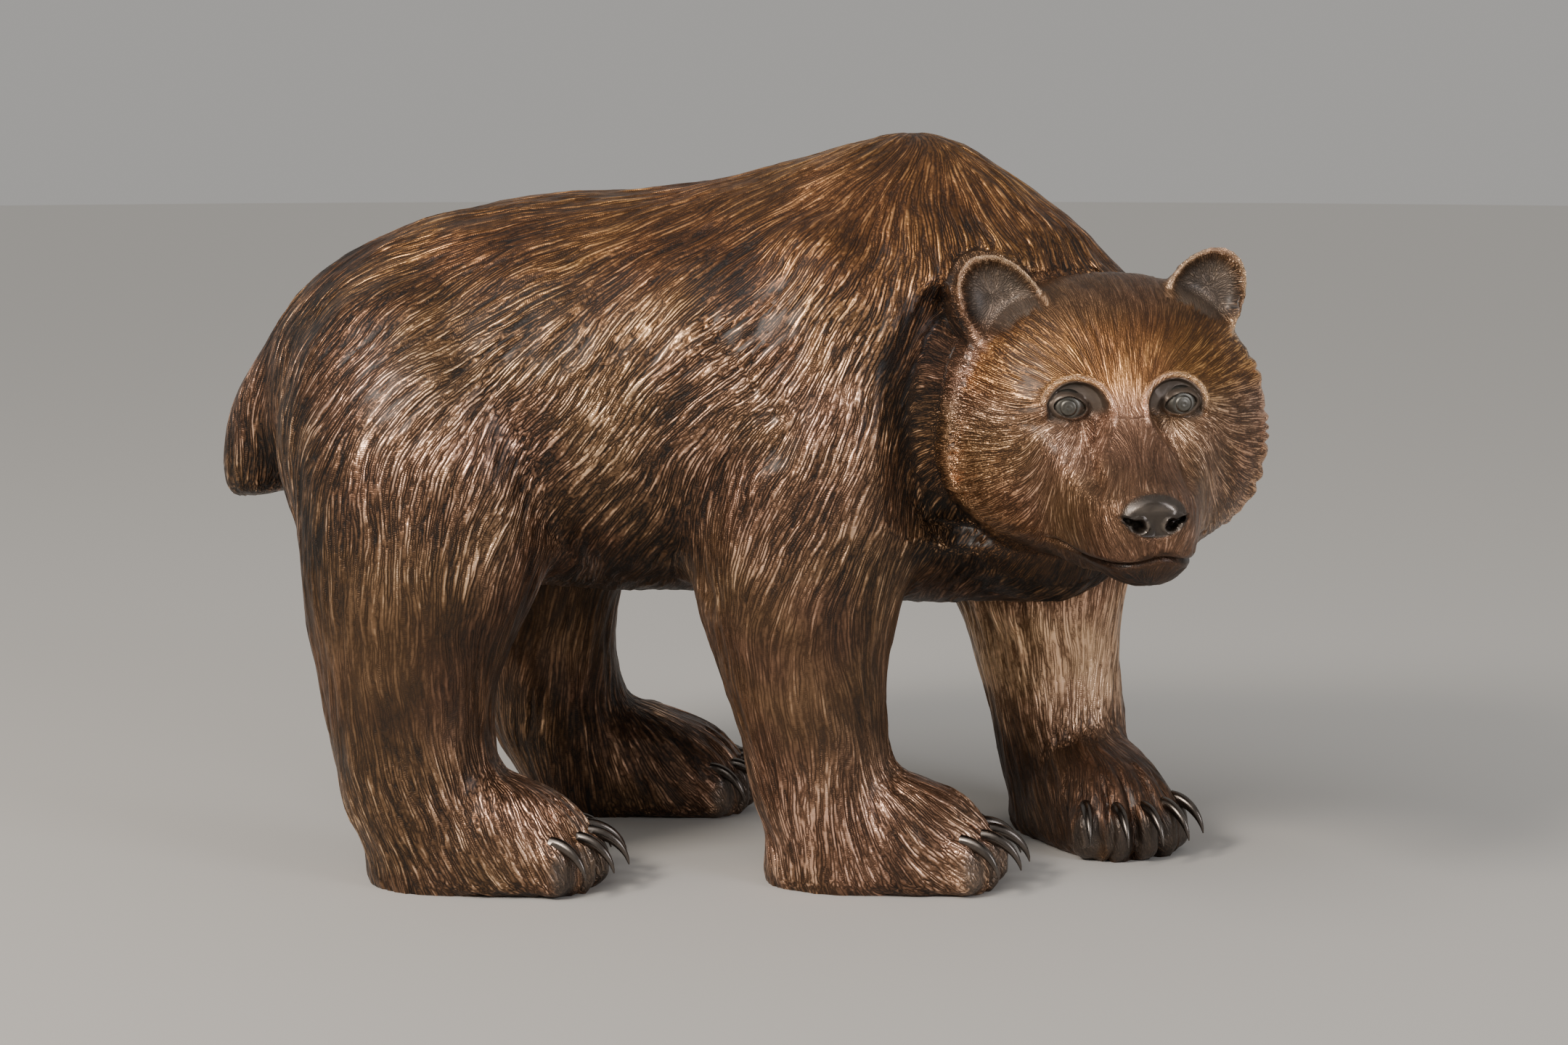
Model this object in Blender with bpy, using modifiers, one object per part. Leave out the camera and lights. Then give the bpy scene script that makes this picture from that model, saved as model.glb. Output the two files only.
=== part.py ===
"""Bear cub, a cast bronze that stands on its four feet with its head turned to its right.

The whole figure is one casting, so it is one object. Lengths are in metres. The cub walks towards +X,
+Y is its left and +Z is up. It is modelled about a point below its belly, and the last step brings the
middle of its box over the origin.
"""

from math import cos, pi, radians, sin

import bmesh
import bpy
import numpy as np
from mathutils import Euler, Matrix, Vector

# Driving dimensions
LEG_THICKNESS = 0.056  # half of a leg's width, side to side, above the ankle
FOOT_LENGTH = 0.184
FOOT_HALF_WIDTH = 0.052
HEEL_BEHIND_ANKLE = 0.040
SOLE_EDGE = 0.012  # how high the rounding of a foot's lower edge begins
HEEL_RISE = 0.018  # and how much higher at the heel
HEEL_SHARE = 0.12  # the share of the foot over which that fades
TOE_RADII = (0.028, 0.0128, 0.0235)
TOE_HEIGHT = 0.0235
TOE_TIP_PLACE = (0.007, 0, -0.010)
TOE_TIP_RADII = (0.015, 0.0120, 0.0135)
CLAW_REACH = 0.031  # from its root to its tip, along the foot
CLAW_DROP = 0.030
CLAW_RADIUS = 0.0046
CLAW_BEND = radians(80)  # the part of a turn that a claw makes
CLAW_ROOT = (0.006, 0.0185)  # ahead of and above the middle of its toe
HEAD_CENTRE = Vector((0.2743, -0.0973, 0.360))
HEAD_YAW = radians(-77.4)
HEAD_ROLL = radians(1.5)
HEAD_SQUARE = 2.25  # how full the corners of its sections are; 2 would be an ellipse
JAW_PLACE = (0.056, 0.0, -0.081)
JAW_RADII = (0.046, 0.056, 0.028)
NOSE_PLACE = (0.155, 0, -0.0520)
NOSE_RADII = (0.0145, 0.0205, 0.0135)
LIP_PLACE = (0.130, 0, -0.0960)
LIP_RADII = (0.021, 0.023, 0.0080)
MOUTH_HEIGHT = -0.0870  # of the line between the lips, in the head's own axes
MOUTH_SLOT = ((0.085, 0.0008), (0.200, 0.0030))  # how far ahead it begins and ends, half height there
MOUTH_HALF_WIDTH = 0.058
NOSTRIL_PLACE = (0.168, 0.0125, -0.0575)
NOSTRIL_RADII = (0.0080, 0.0058, 0.0038)
EAR_RADIUS = 0.0325
EAR_PLACE = Vector((0.010, 0.0750, 0.0870))
EAR_ASIDE = -0.0030  # both ears sit this far to the head's right
EAR_YAW = radians(4)  # how far each opens outwards
EAR_PITCH = radians(-8)  # and how far back it tips
EAR_SLOPE = 0.36  # how fast an ear's rim falls towards the middle of the head
EAR_DROOP = 1.3  # how much longer an ear is below its middle than above
EYE_RADIUS = 0.0130
EYE_PLACE = Vector((0.0600, 0.0405, 0.0140))  # of the left eye, in the head's own axes
SOCKET_PLACE = EYE_PLACE + Vector((0.0190, 0, 0.0010))
SOCKET_RADII = (0.0150, 0.0215, 0.0190)

# Mesh fineness
FORM_VOXEL = 0.006  # the first, coarse skin over torso, legs and head
DETAIL_VOXEL = 0.0030  # the second skin, with ears, face and toes
FORM_SMOOTHING = 28  # how often each skin is relaxed
HEAD_SMOOTHING = 8
FIGURE_SMOOTHING = 4
RING_SIDES = 28
STEPS_BETWEEN = 4  # rings between two stations of a loft
FIGURE_TRIANGLES = 8400
CLAW_SIDES = 6
CLAW_STEPS = 4

# Torso stations from rump to chest: x, top, underside, half width, how much the top narrows
TORSO = (
    (-0.385, 0.410, 0.330, 0.035, 0.0),
    (-0.365, 0.438, 0.290, 0.078, 0.0),
    (-0.325, 0.470, 0.245, 0.116, 0.05),
    (-0.260, 0.500, 0.222, 0.146, 0.10),
    (-0.165, 0.519, 0.209, 0.160, 0.15),
    (-0.060, 0.526, 0.207, 0.158, 0.20),
    (0.020, 0.543, 0.205, 0.154, 0.32),
    (0.085, 0.563, 0.203, 0.150, 0.45),
    (0.125, 0.568, 0.202, 0.146, 0.52),
    (0.170, 0.555, 0.202, 0.138, 0.45),
    (0.225, 0.516, 0.205, 0.122, 0.30),
    (0.262, 0.484, 0.225, 0.096, 0.15),
    (0.285, 0.440, 0.275, 0.055, 0.0),
)

# A leg's stations from the body down: height, x ahead of the ankle, half length, half width share
HIND_LEG = (
    (0.400, -0.002, 0.080, 1.10),
    (0.340, 0.002, 0.102, 1.36),
    (0.275, 0.004, 0.099, 1.34),
    (0.220, 0.002, 0.090, 1.24),
    (0.180, -0.004, 0.077, 1.10),
    (0.140, -0.004, 0.067, 1.02),
    (0.100, 0.002, 0.063, 1.00),
    (0.060, 0.010, 0.062, 0.97),
    (0.025, 0.020, 0.056, 0.88),
    (-0.020, 0.028, 0.048, 0.76),
)
FORE_LEG = (
    (0.420, 0.010, 0.062, 0.90),
    (0.350, 0.000, 0.090, 1.25),
    (0.280, -0.008, 0.092, 1.30),
    (0.220, -0.012, 0.080, 1.20),
    (0.180, -0.010, 0.070, 1.08),
    (0.140, -0.005, 0.060, 1.02),
    (0.100, 0.002, 0.056, 1.00),
    (0.060, 0.008, 0.055, 0.97),
    (0.025, 0.018, 0.050, 0.88),
    (-0.020, 0.026, 0.043, 0.76),
)

# Ankle x and y, foot yaw in degrees, how far its heel is ahead of the usual place, how far the leg's
# top lies ahead and outwards, and its stations
LEGS = {
    "right_hind": (-0.250, -0.135, 0.0, 0.008, 0.014, -0.030, HIND_LEG),
    "left_hind": (-0.178, 0.124, 3.0, 0.016, -0.058, -0.024, HIND_LEG),
    "right_fore": (0.057, -0.098, 3.0, 0.002, 0.0, -0.004, FORE_LEG),
    "left_fore": (0.236, 0.108, -58.0, 0.0, -0.020, -0.036, FORE_LEG),
}

# A foot from heel to toes: share of its length, share of its half width, height
FOOT = (
    (0.00, 0.20, 0.044),
    (0.03, 0.42, 0.056),
    (0.10, 0.66, 0.062),
    (0.25, 0.89, 0.084),
    (0.45, 1.00, 0.091),
    (0.64, 0.99, 0.081),
    (0.80, 0.90, 0.068),
    (0.89, 0.78, 0.055),
    (0.94, 0.62, 0.040),
)
TOE_FAN = radians(32)  # how far a toe at the foot's edge would turn outwards
TOE_ROW_BOW = 0.040  # how far an outer toe would lie behind the middle one at the foot's edge
TOE_ROW = (-0.72, -0.38, 0.0, 0.38, 0.71)  # across the foot, as shares of its half width

# The head from nape to nose tip, in its own axes: x, centre z, half width, height above, depth below
HEAD = (
    (-0.090, 0.000, 0.055, 0.062, 0.060),
    (-0.070, 0.000, 0.082, 0.086, 0.082),
    (-0.040, -0.004, 0.101, 0.103, 0.094),
    (-0.012, -0.010, 0.112, 0.116, 0.094),
    (0.012, -0.014, 0.116, 0.114, 0.092),
    (0.032, -0.016, 0.106, 0.104, 0.089),
    (0.050, -0.020, 0.090, 0.089, 0.085),
    (0.066, -0.025, 0.073, 0.070, 0.080),
    (0.080, -0.032, 0.061, 0.053, 0.073),
    (0.095, -0.042, 0.052, 0.042, 0.064),
    (0.115, -0.052, 0.045, 0.035, 0.056),
    (0.135, -0.058, 0.038, 0.030, 0.049),
    (0.148, -0.060, 0.033, 0.027, 0.042),
    (0.158, -0.060, 0.026, 0.022, 0.029),
    (0.165, -0.058, 0.017, 0.014, 0.015),
)

# An ear's turned profile from the bottom of its cup over the rim to its back: radius share, height
EAR = (
    (0.06, -0.0120),
    (0.40, -0.0116),
    (0.66, -0.0090),
    (0.80, -0.0050),
    (0.90, -0.0002),
    (0.96, 0.0020),
    (1.01, 0.0014),
    (1.04, -0.0030),
    (1.01, -0.0110),
    (0.88, -0.0185),
    (0.50, -0.0240),
    (0.06, -0.0250),
)

# Haunches, shoulders and the chest's bib: middle and radii of each
MASSES = (
    ((-0.250, -0.092, 0.330), (0.108, 0.082, 0.130)),
    ((-0.225, 0.092, 0.330), (0.112, 0.080, 0.130)),
    ((0.060, -0.078, 0.360), (0.088, 0.078, 0.150)),
    ((0.140, 0.074, 0.350), (0.100, 0.078, 0.150)),
    ((0.225, -0.045, 0.305), (0.085, 0.085, 0.095)),
)

# The neck's stations from between the shoulders: middle, half width, half height
NECK = (
    (Vector((0.110, 0.000, 0.390)), 0.140, 0.150),
    (Vector((0.180, -0.008, 0.376)), 0.126, 0.142),
    (Vector((0.232, -0.030, 0.360)), 0.110, 0.124),
)
NAPE = (Vector((-0.030, 0, -0.002)), 0.092, 0.098)  # its last station, in the head's own axes

# The tail's stations down the rump: x, z, half width, half thickness
TAIL = (
    (-0.330, 0.440, 0.048, 0.020),
    (-0.358, 0.404, 0.052, 0.022),
    (-0.380, 0.368, 0.052, 0.026),
    (-0.393, 0.330, 0.049, 0.030),
    (-0.398, 0.300, 0.045, 0.030),
    (-0.396, 0.279, 0.041, 0.026),
)


def head_frame():
    """The head's own axes at its centre: +X to the muzzle, +Y to its left ear, +Z to its crown."""
    return Matrix.Translation(HEAD_CENTRE) @ Euler((HEAD_ROLL, 0, HEAD_YAW)).to_matrix().to_4x4()


def between(rows, steps):
    """The rows with steps points from each to the next, on a Catmull-Rom curve through them."""
    rows = np.array(rows, float)
    ends = np.vstack((2 * rows[0] - rows[1], rows, 2 * rows[-1] - rows[-2]))
    out = []
    for i in range(1, len(ends) - 2):
        p0, p1, p2, p3 = ends[i - 1 : i + 3]
        for step in range(steps):
            t = step / steps
            line = 2 * p1 + (p2 - p0) * t
            bend = (2 * p0 - 5 * p1 + 4 * p2 - p3) * t**2 + (3 * p1 - p0 - 3 * p2 + p3) * t**3
            out.append((line + bend) / 2)
    return out + [rows[-1]]


def add_loft(bm, rings):
    """A closed skin over rings of points, each ring with the same number of points."""
    loops = [[bm.verts.new(point) for point in ring] for ring in rings]
    for low, high in zip(loops, loops[1:]):
        for i in range(len(low)):
            j = (i + 1) % len(low)
            bm.faces.new((low[i], low[j], high[j], high[i]))
    bm.faces.new(reversed(loops[0]))
    bm.faces.new(loops[-1])


def oval(centre, side, up, down=None, square=2.0, narrow_top=0.0):
    """A ring round centre with half axes side, up and down. Over 2, square fills its corners, and
    narrow_top pinches its upper half."""
    down = up if down is None else down
    ring = []
    for i in range(RING_SIDES):
        angle = 2 * pi * i / RING_SIDES
        across = abs(cos(angle)) ** (2 / square) * (1 if cos(angle) > 0 else -1)
        level = abs(sin(angle)) ** (2 / square)
        above = sin(angle) > 0
        pinch = 1 - narrow_top * level**2 if above else 1
        ring.append(centre + side * across * pinch + (up * level if above else down * -level))
    return ring


def add_ellipsoid(bm, matrix, centre, radii):
    """A sphere stretched to radii about centre, in the frame of matrix."""
    place = matrix @ Matrix.Translation(centre) @ Matrix.Diagonal((*radii, 1.0))
    bmesh.ops.create_uvsphere(bm, u_segments=24, v_segments=14, radius=1.0, matrix=place)


def add_torso(bm):
    rings = []
    for x, top, bottom, half_width, narrow in between(TORSO, STEPS_BETWEEN):
        centre = Vector((x, 0, (top + bottom) / 2))
        up = Vector((0, 0, (top - bottom) / 2))
        rings.append(oval(centre, Vector((0, half_width, 0)), up, narrow_top=narrow))
    add_loft(bm, rings)


def add_masses(bm):
    """Haunches and shoulders, the muscle that carries the legs into the body, and the chest's bib."""
    for middle, radii in MASSES:
        add_ellipsoid(bm, Matrix.Identity(4), middle, radii)


def foot_frame(ankle_x, ankle_y, yaw, heel_ahead, *_):
    """A foot's own axes: its heel at the origin, +X to the toes."""
    turn = Matrix.Rotation(radians(yaw), 4, "Z")
    ankle = Matrix.Translation((ankle_x, ankle_y, 0))
    return ankle @ turn @ Matrix.Translation((heel_ahead - HEEL_BEHIND_ANKLE, 0, 0))


def add_leg(bm, ankle_x, ankle_y, yaw, _, ahead_at_top, out_at_top, stations):
    """A leg's column; low down it turns with the foot, and at the top it lies along the body."""
    top = stations[0][0]
    outward = 1 if ankle_y > 0 else -1
    rings = []
    for z, ahead, half_length, width_share in between(stations, STEPS_BETWEEN):
        rise = min(max(z / top, 0.0), 1.0)
        turn = Matrix.Rotation(radians(yaw) * (1 - rise) ** 1.5, 3, "Z")
        centre = Vector((ankle_x, ankle_y, z)) + turn @ Vector((ahead, 0, 0))
        centre.x += ahead_at_top * rise
        centre.y += outward * out_at_top * rise**2
        side = turn @ Vector((half_length, 0, 0))
        depth = turn @ Vector((0, LEG_THICKNESS * width_share, 0))
        rings.append(oval(centre, side, depth))
    add_loft(bm, rings)


def add_foot(bm, frame):
    """The foot's domed block with its lower edge rounded, carried below the base plane so that the cut
    leaves it flat."""
    rings = []
    for share, width_share, height in between(FOOT, STEPS_BETWEEN):
        edge = SOLE_EDGE + HEEL_RISE * max(0.0, 1 - share / HEEL_SHARE)
        centre = frame @ Vector((share * FOOT_LENGTH, 0, edge))
        side = frame.to_3x3() @ Vector((0, FOOT_HALF_WIDTH * width_share, 0))
        above = Vector((0, 0, height - edge))
        below = Vector((0, 0, min(1.5 * edge, 0.55 * height)))
        rings.append(oval(centre, side, above, below, square=2.5))
    add_loft(bm, rings)


def toe_places():
    """Each toe's centre and heading in its foot's frame; the row bows forward in the middle."""
    for share in TOE_ROW:
        ahead = 0.90 * FOOT_LENGTH - TOE_ROW_BOW * share**2
        yield Vector((ahead, share * FOOT_HALF_WIDTH, TOE_HEIGHT)), TOE_FAN * share


def add_toes(bm, frame):
    for place, heading in toe_places():
        turned = frame @ Matrix.Translation(place) @ Matrix.Rotation(heading, 4, "Z")
        add_ellipsoid(bm, turned, (-0.006, 0, 0.0), TOE_RADII)
        add_ellipsoid(bm, turned, TOE_TIP_PLACE, TOE_TIP_RADII)


def add_claws(bm, frame):
    """Long claws that leave the top of each toe, run forward and curve down towards the ground."""
    for place, heading in toe_places():
        turned = frame @ Matrix.Translation(place) @ Matrix.Rotation(heading, 4, "Z")
        rings = []
        for step in range(CLAW_STEPS + 1):
            t = step / CLAW_STEPS
            angle = CLAW_BEND * t
            ahead = CLAW_ROOT[0] + CLAW_REACH * sin(angle)
            height = CLAW_ROOT[1] - CLAW_DROP * (1 - cos(angle))
            along = Vector((cos(angle) * CLAW_REACH, 0, -sin(angle) * CLAW_DROP)).normalized()
            up = Vector((-along.z, 0, along.x))
            radius = CLAW_RADIUS * (1 - 0.86 * t**1.6)
            ring = []
            for i in range(CLAW_SIDES):
                turn = 2 * pi * i / CLAW_SIDES
                point = up * (radius * 1.15 * sin(turn)) + Vector((0, radius * cos(turn), 0))
                ring.append(turned @ (Vector((ahead, 0, height)) + point))
            rings.append(ring)
        add_loft(bm, rings)


def add_head(bm, frame):
    """Skull, cheek ruff and muzzle as one loft from nape to nose, and the broad jaw under it."""
    rings = []
    for ahead, level, half_width, above, below in between(HEAD, STEPS_BETWEEN):
        centre = Vector((ahead, 0, level))
        side = Vector((0, half_width, 0))
        ring = oval(centre, side, Vector((0, 0, above)), Vector((0, 0, below)), square=HEAD_SQUARE)
        rings.append([frame @ point for point in ring])
    add_loft(bm, rings)
    add_ellipsoid(bm, frame, JAW_PLACE, JAW_RADII)


def add_neck(bm, frame):
    """The thick neck from between the shoulders to the back of the skull."""
    stations = (*NECK, (frame @ NAPE[0], *NAPE[1:]))
    rows = between([(*centre, width, height) for centre, width, height in stations], STEPS_BETWEEN)
    centres = [Vector(row[:3]) for row in rows]
    rings = []
    for i, row in enumerate(rows):
        along = centres[min(i + 1, len(rows) - 1)] - centres[max(i - 1, 0)]
        side = along.cross(Vector((0, 0, 1))).normalized()
        up = side.cross(along).normalized()
        rings.append(oval(centres[i], side * row[3], up * row[4]))
    add_loft(bm, rings)


def add_tail(bm):
    """A short thick flap that lies on the rump and ends square."""
    rows = between(TAIL, STEPS_BETWEEN)
    points = [Vector((row[0], 0, row[1])) for row in rows]
    rings = []
    for i, row in enumerate(rows):
        along = (points[min(i + 1, len(rows) - 1)] - points[max(i - 1, 0)]).normalized()
        out = Vector((along.z, 0, -along.x))
        rings.append(oval(points[i], Vector((0, row[2], 0)), out * row[3], square=2.4))
    add_loft(bm, rings)


def add_ears(bm, frame):
    """Two cupped ears that face ahead; their rims fall towards the middle of the head."""
    for side in (-1, 1):
        place = Vector((EAR_PLACE.x, side * EAR_PLACE.y + EAR_ASIDE, EAR_PLACE.z))
        turn = Euler((0, EAR_PITCH, side * EAR_YAW)).to_matrix().to_4x4()
        slope = Matrix.Identity(4)
        slope[2][1] = side * EAR_SLOPE
        ear = frame @ Matrix.Translation(place) @ turn @ slope
        rings = []
        for share, height in EAR:
            across = Vector((0, share * EAR_RADIUS, 0))
            rise = Vector((0, 0, share * EAR_RADIUS))
            ring = oval(Vector((height, 0, 0)), across, rise, rise * EAR_DROOP)
            rings.append([ear @ point for point in ring])
        add_loft(bm, rings)


def add_nose(bm, frame):
    """The nose pad and the lower lip."""
    add_ellipsoid(bm, frame, NOSE_PLACE, NOSE_RADII)
    add_ellipsoid(bm, frame, LIP_PLACE, LIP_RADII)


def add_hollows(bm, frame):
    """The cutters: eye sockets, the slot of the mouth and two nostrils."""
    for side in (-1, 1):
        add_ellipsoid(bm, frame, (SOCKET_PLACE.x, side * SOCKET_PLACE.y, SOCKET_PLACE.z), SOCKET_RADII)
        ahead, aside, level = NOSTRIL_PLACE
        add_ellipsoid(bm, frame, (ahead, side * aside, level), NOSTRIL_RADII)
    rings = []
    for ahead, half_height in MOUTH_SLOT:
        centre = frame @ Vector((ahead, 0, MOUTH_HEIGHT))
        side = frame.to_3x3() @ Vector((0, MOUTH_HALF_WIDTH, 0))
        rings.append(oval(centre, side, Vector((0, 0, half_height)), square=6))
    add_loft(bm, rings)


def add_eyes(bm, frame):
    for side in (-1, 1):
        add_ellipsoid(bm, frame, (EYE_PLACE.x, side * EYE_PLACE.y, EYE_PLACE.z), (EYE_RADIUS,) * 3)


def new_mesh(name, bm):
    bmesh.ops.recalc_face_normals(bm, faces=bm.faces)
    mesh = bpy.data.meshes.new(name)
    bm.to_mesh(mesh)
    bm.free()
    return mesh


def new_object(name, mesh, collection):
    obj = bpy.data.objects.new(name, mesh)
    collection.objects.link(obj)
    return obj


def new_cutter(name, bm, collection):
    """A hidden helper that a Boolean reads."""
    cutter = new_object(name, new_mesh(name, bm), collection)
    cutter.hide_render = True
    cutter.display_type = "WIRE"
    return cutter


def add_boolean(obj, operation, other):
    boolean = obj.modifiers.new(other.name, "BOOLEAN")
    boolean.operation = operation
    boolean.object = other


def add_skin(obj, voxel, smooth_steps):
    """One even skin over overlapping shapes, with its creases smoothed into fillets."""
    remesh = obj.modifiers.new("skin", "REMESH")
    remesh.mode = "VOXEL"
    remesh.voxel_size = voxel
    smooth = obj.modifiers.new("fillets", "SMOOTH")
    smooth.factor = 0.5
    smooth.iterations = smooth_steps


def baked(obj):
    """The object's mesh with its modifiers applied; the object goes."""
    graph = bpy.context.evaluated_depsgraph_get()
    mesh = bpy.data.meshes.new_from_object(obj.evaluated_get(graph))
    bpy.data.objects.remove(obj)
    return mesh


def make_form(frame, collection):
    """Torso, legs, neck and tail grown together, without hard creases between the muscles."""
    bm = bmesh.new()
    add_masses(bm)
    add_torso(bm)
    add_neck(bm, frame)
    add_tail(bm)
    for leg in LEGS.values():
        add_leg(bm, *leg)
        add_foot(bm, foot_frame(*leg))
    form = new_object("form", new_mesh("form", bm), collection)
    add_skin(form, FORM_VOXEL, FORM_SMOOTHING)
    return baked(form)


def make_head(frame, collection, cutters):
    """The head with its sockets, mouth and nostrils cut in."""
    bm = bmesh.new()
    add_head(bm, frame)
    add_nose(bm, frame)
    head = new_object("head", new_mesh("head", bm), collection)
    add_skin(head, DETAIL_VOXEL, HEAD_SMOOTHING)
    bm = bmesh.new()
    add_hollows(bm, frame)
    add_boolean(head, "DIFFERENCE", new_cutter("hollows", bm, cutters))
    return baked(head)


def make_figure(frame, collection, cutters):
    """Form and head joined, with ears, eyes, feet and toes, thinned to a modest number of triangles."""
    bm = bmesh.new()
    add_eyes(bm, frame)
    add_ears(bm, frame)
    for leg in LEGS.values():
        add_toes(bm, foot_frame(*leg))
        add_foot(bm, foot_frame(*leg))
    bm.from_mesh(make_form(frame, collection))
    bm.from_mesh(make_head(frame, collection, cutters))
    figure = new_object("figure", new_mesh("figure", bm), collection)
    add_skin(figure, DETAIL_VOXEL, FIGURE_SMOOTHING)
    skin = new_object("skin", baked(figure), collection)
    skin.data.calc_loop_triangles()
    thin = skin.modifiers.new("thin", "DECIMATE")
    thin.ratio = FIGURE_TRIANGLES / len(skin.data.loop_triangles)
    return baked(skin)


def bring_over_origin(mesh):
    """Moves the mesh level until the middle of its box is over the origin."""
    points = np.array([vertex.co for vertex in mesh.vertices])
    middle = (points.min(axis=0) + points.max(axis=0)) / 2
    mesh.transform(Matrix.Translation((-middle[0], -middle[1], 0)))


def bronze():
    """Cast bronze with a warm dark-brown patina."""
    material = bpy.data.materials.new("patinated_bronze")
    material.use_nodes = True
    shader = material.node_tree.nodes["Principled BSDF"]
    shader.inputs["Base Color"].default_value = (0.155, 0.070, 0.032, 1)
    shader.inputs["Metallic"].default_value = 1.0
    shader.inputs["Roughness"].default_value = 0.42
    return material


def make_claws():
    bm = bmesh.new()
    for leg in LEGS.values():
        add_claws(bm, foot_frame(*leg))
    return bm


def make_ground():
    """A block below the base plane, which cuts the soles flat."""
    bm = bmesh.new()
    bmesh.ops.create_cube(bm, size=2.0, matrix=Matrix.Translation((0, 0, -1.0)))
    return bm


def main():
    for obj in list(bpy.data.objects):
        bpy.data.objects.remove(obj)
    collection = bpy.data.collections.new("bear_cub")
    cutters = bpy.data.collections.new("cutters")
    bpy.context.scene.collection.children.link(collection)
    bpy.context.scene.collection.children.link(cutters)

    rough = new_object("rough", make_figure(head_frame(), collection, cutters), collection)
    add_boolean(rough, "UNION", new_cutter("claws", make_claws(), cutters))
    add_boolean(rough, "DIFFERENCE", new_cutter("ground", make_ground(), cutters))
    cast = baked(rough)

    bring_over_origin(cast)
    bear = new_object("bear_cub", cast, collection)
    bear.data.materials.clear()
    bear.data.materials.append(bronze())


if __name__ == "__main__":
    main()
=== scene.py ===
"""The looks of the bear cub: a bronze cast in one, its coat chased in locks and patinated brown.

The figure is grown from the same lofts as the solid model: torso, legs, neck and tail first, then head,
ears, feet and toes. The face is then modelled on it, the coat is raised in tapered locks that follow the
lie of the hair, and claws and eyes are let in. Strands finer than a lock are drawn by the finish. A part
of the figure is given as a share from 0 to 1 at each point of its surface. Lengths are in metres.
"""

from math import cos, pi, radians, sin

import bmesh
import bpy
import numpy as np
from bpy.props import FloatProperty, FloatVectorProperty, IntProperty, PointerProperty
from mathutils import Euler, Matrix, Vector
from mathutils.kdtree import KDTree


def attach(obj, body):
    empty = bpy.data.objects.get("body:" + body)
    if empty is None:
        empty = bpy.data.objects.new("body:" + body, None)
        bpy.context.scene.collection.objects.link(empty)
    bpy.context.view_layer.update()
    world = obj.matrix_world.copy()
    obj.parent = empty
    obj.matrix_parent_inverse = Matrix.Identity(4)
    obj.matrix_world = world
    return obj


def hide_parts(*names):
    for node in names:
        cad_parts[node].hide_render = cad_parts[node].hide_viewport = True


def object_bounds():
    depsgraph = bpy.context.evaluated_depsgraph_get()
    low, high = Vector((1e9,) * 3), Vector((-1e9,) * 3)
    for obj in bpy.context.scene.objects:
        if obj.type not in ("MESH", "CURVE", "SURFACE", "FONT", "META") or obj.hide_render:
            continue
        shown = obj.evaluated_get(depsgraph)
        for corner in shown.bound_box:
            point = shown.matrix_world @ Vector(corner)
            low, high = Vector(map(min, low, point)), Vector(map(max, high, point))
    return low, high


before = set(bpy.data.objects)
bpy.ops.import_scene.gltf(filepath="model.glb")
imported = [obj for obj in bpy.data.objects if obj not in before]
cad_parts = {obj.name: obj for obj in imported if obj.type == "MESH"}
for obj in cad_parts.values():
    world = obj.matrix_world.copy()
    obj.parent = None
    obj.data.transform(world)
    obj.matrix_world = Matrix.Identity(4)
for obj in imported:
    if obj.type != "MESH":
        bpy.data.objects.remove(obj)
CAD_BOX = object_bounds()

bl_info = {
    "name": "Bronze bear cub",
    "version": (1, 0, 0),
    "blender": (4, 5, 0),
    "location": "View3D > Sidebar > Bear cub",
    "description": "Casts a furred bronze bear cub and lights it in a plain studio",
    "category": "Object",
}

CUB_NODE = "bear_cub"

# Torso stations from rump to chest: x, top, underside, half width, how much the top narrows
TORSO = (
    (-0.385, 0.410, 0.330, 0.035, 0.0),
    (-0.365, 0.438, 0.290, 0.078, 0.0),
    (-0.325, 0.470, 0.245, 0.116, 0.05),
    (-0.260, 0.500, 0.222, 0.146, 0.10),
    (-0.165, 0.519, 0.209, 0.160, 0.15),
    (-0.060, 0.526, 0.207, 0.158, 0.20),
    (0.020, 0.543, 0.205, 0.154, 0.32),
    (0.085, 0.563, 0.203, 0.150, 0.45),
    (0.125, 0.568, 0.202, 0.146, 0.52),
    (0.170, 0.555, 0.202, 0.138, 0.45),
    (0.225, 0.516, 0.205, 0.122, 0.30),
    (0.262, 0.484, 0.225, 0.096, 0.15),
    (0.285, 0.440, 0.275, 0.055, 0.0),
)

# Haunches, shoulders and the chest's bib: middle and radii of each
MASSES = (
    ((-0.250, -0.092, 0.330), (0.108, 0.082, 0.130)),
    ((-0.225, 0.092, 0.330), (0.112, 0.080, 0.130)),
    ((0.060, -0.078, 0.360), (0.088, 0.078, 0.150)),
    ((0.140, 0.074, 0.350), (0.100, 0.078, 0.150)),
    ((0.225, -0.045, 0.305), (0.085, 0.085, 0.095)),
)

# The neck's stations from between the shoulders: middle, half width, half height
NECK = (
    (Vector((0.110, 0.000, 0.390)), 0.140, 0.150),
    (Vector((0.180, -0.008, 0.376)), 0.126, 0.142),
    (Vector((0.232, -0.030, 0.360)), 0.110, 0.124),
)
NAPE = (Vector((-0.030, 0, -0.002)), 0.092, 0.098)  # its last station, in the head's own axes

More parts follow.
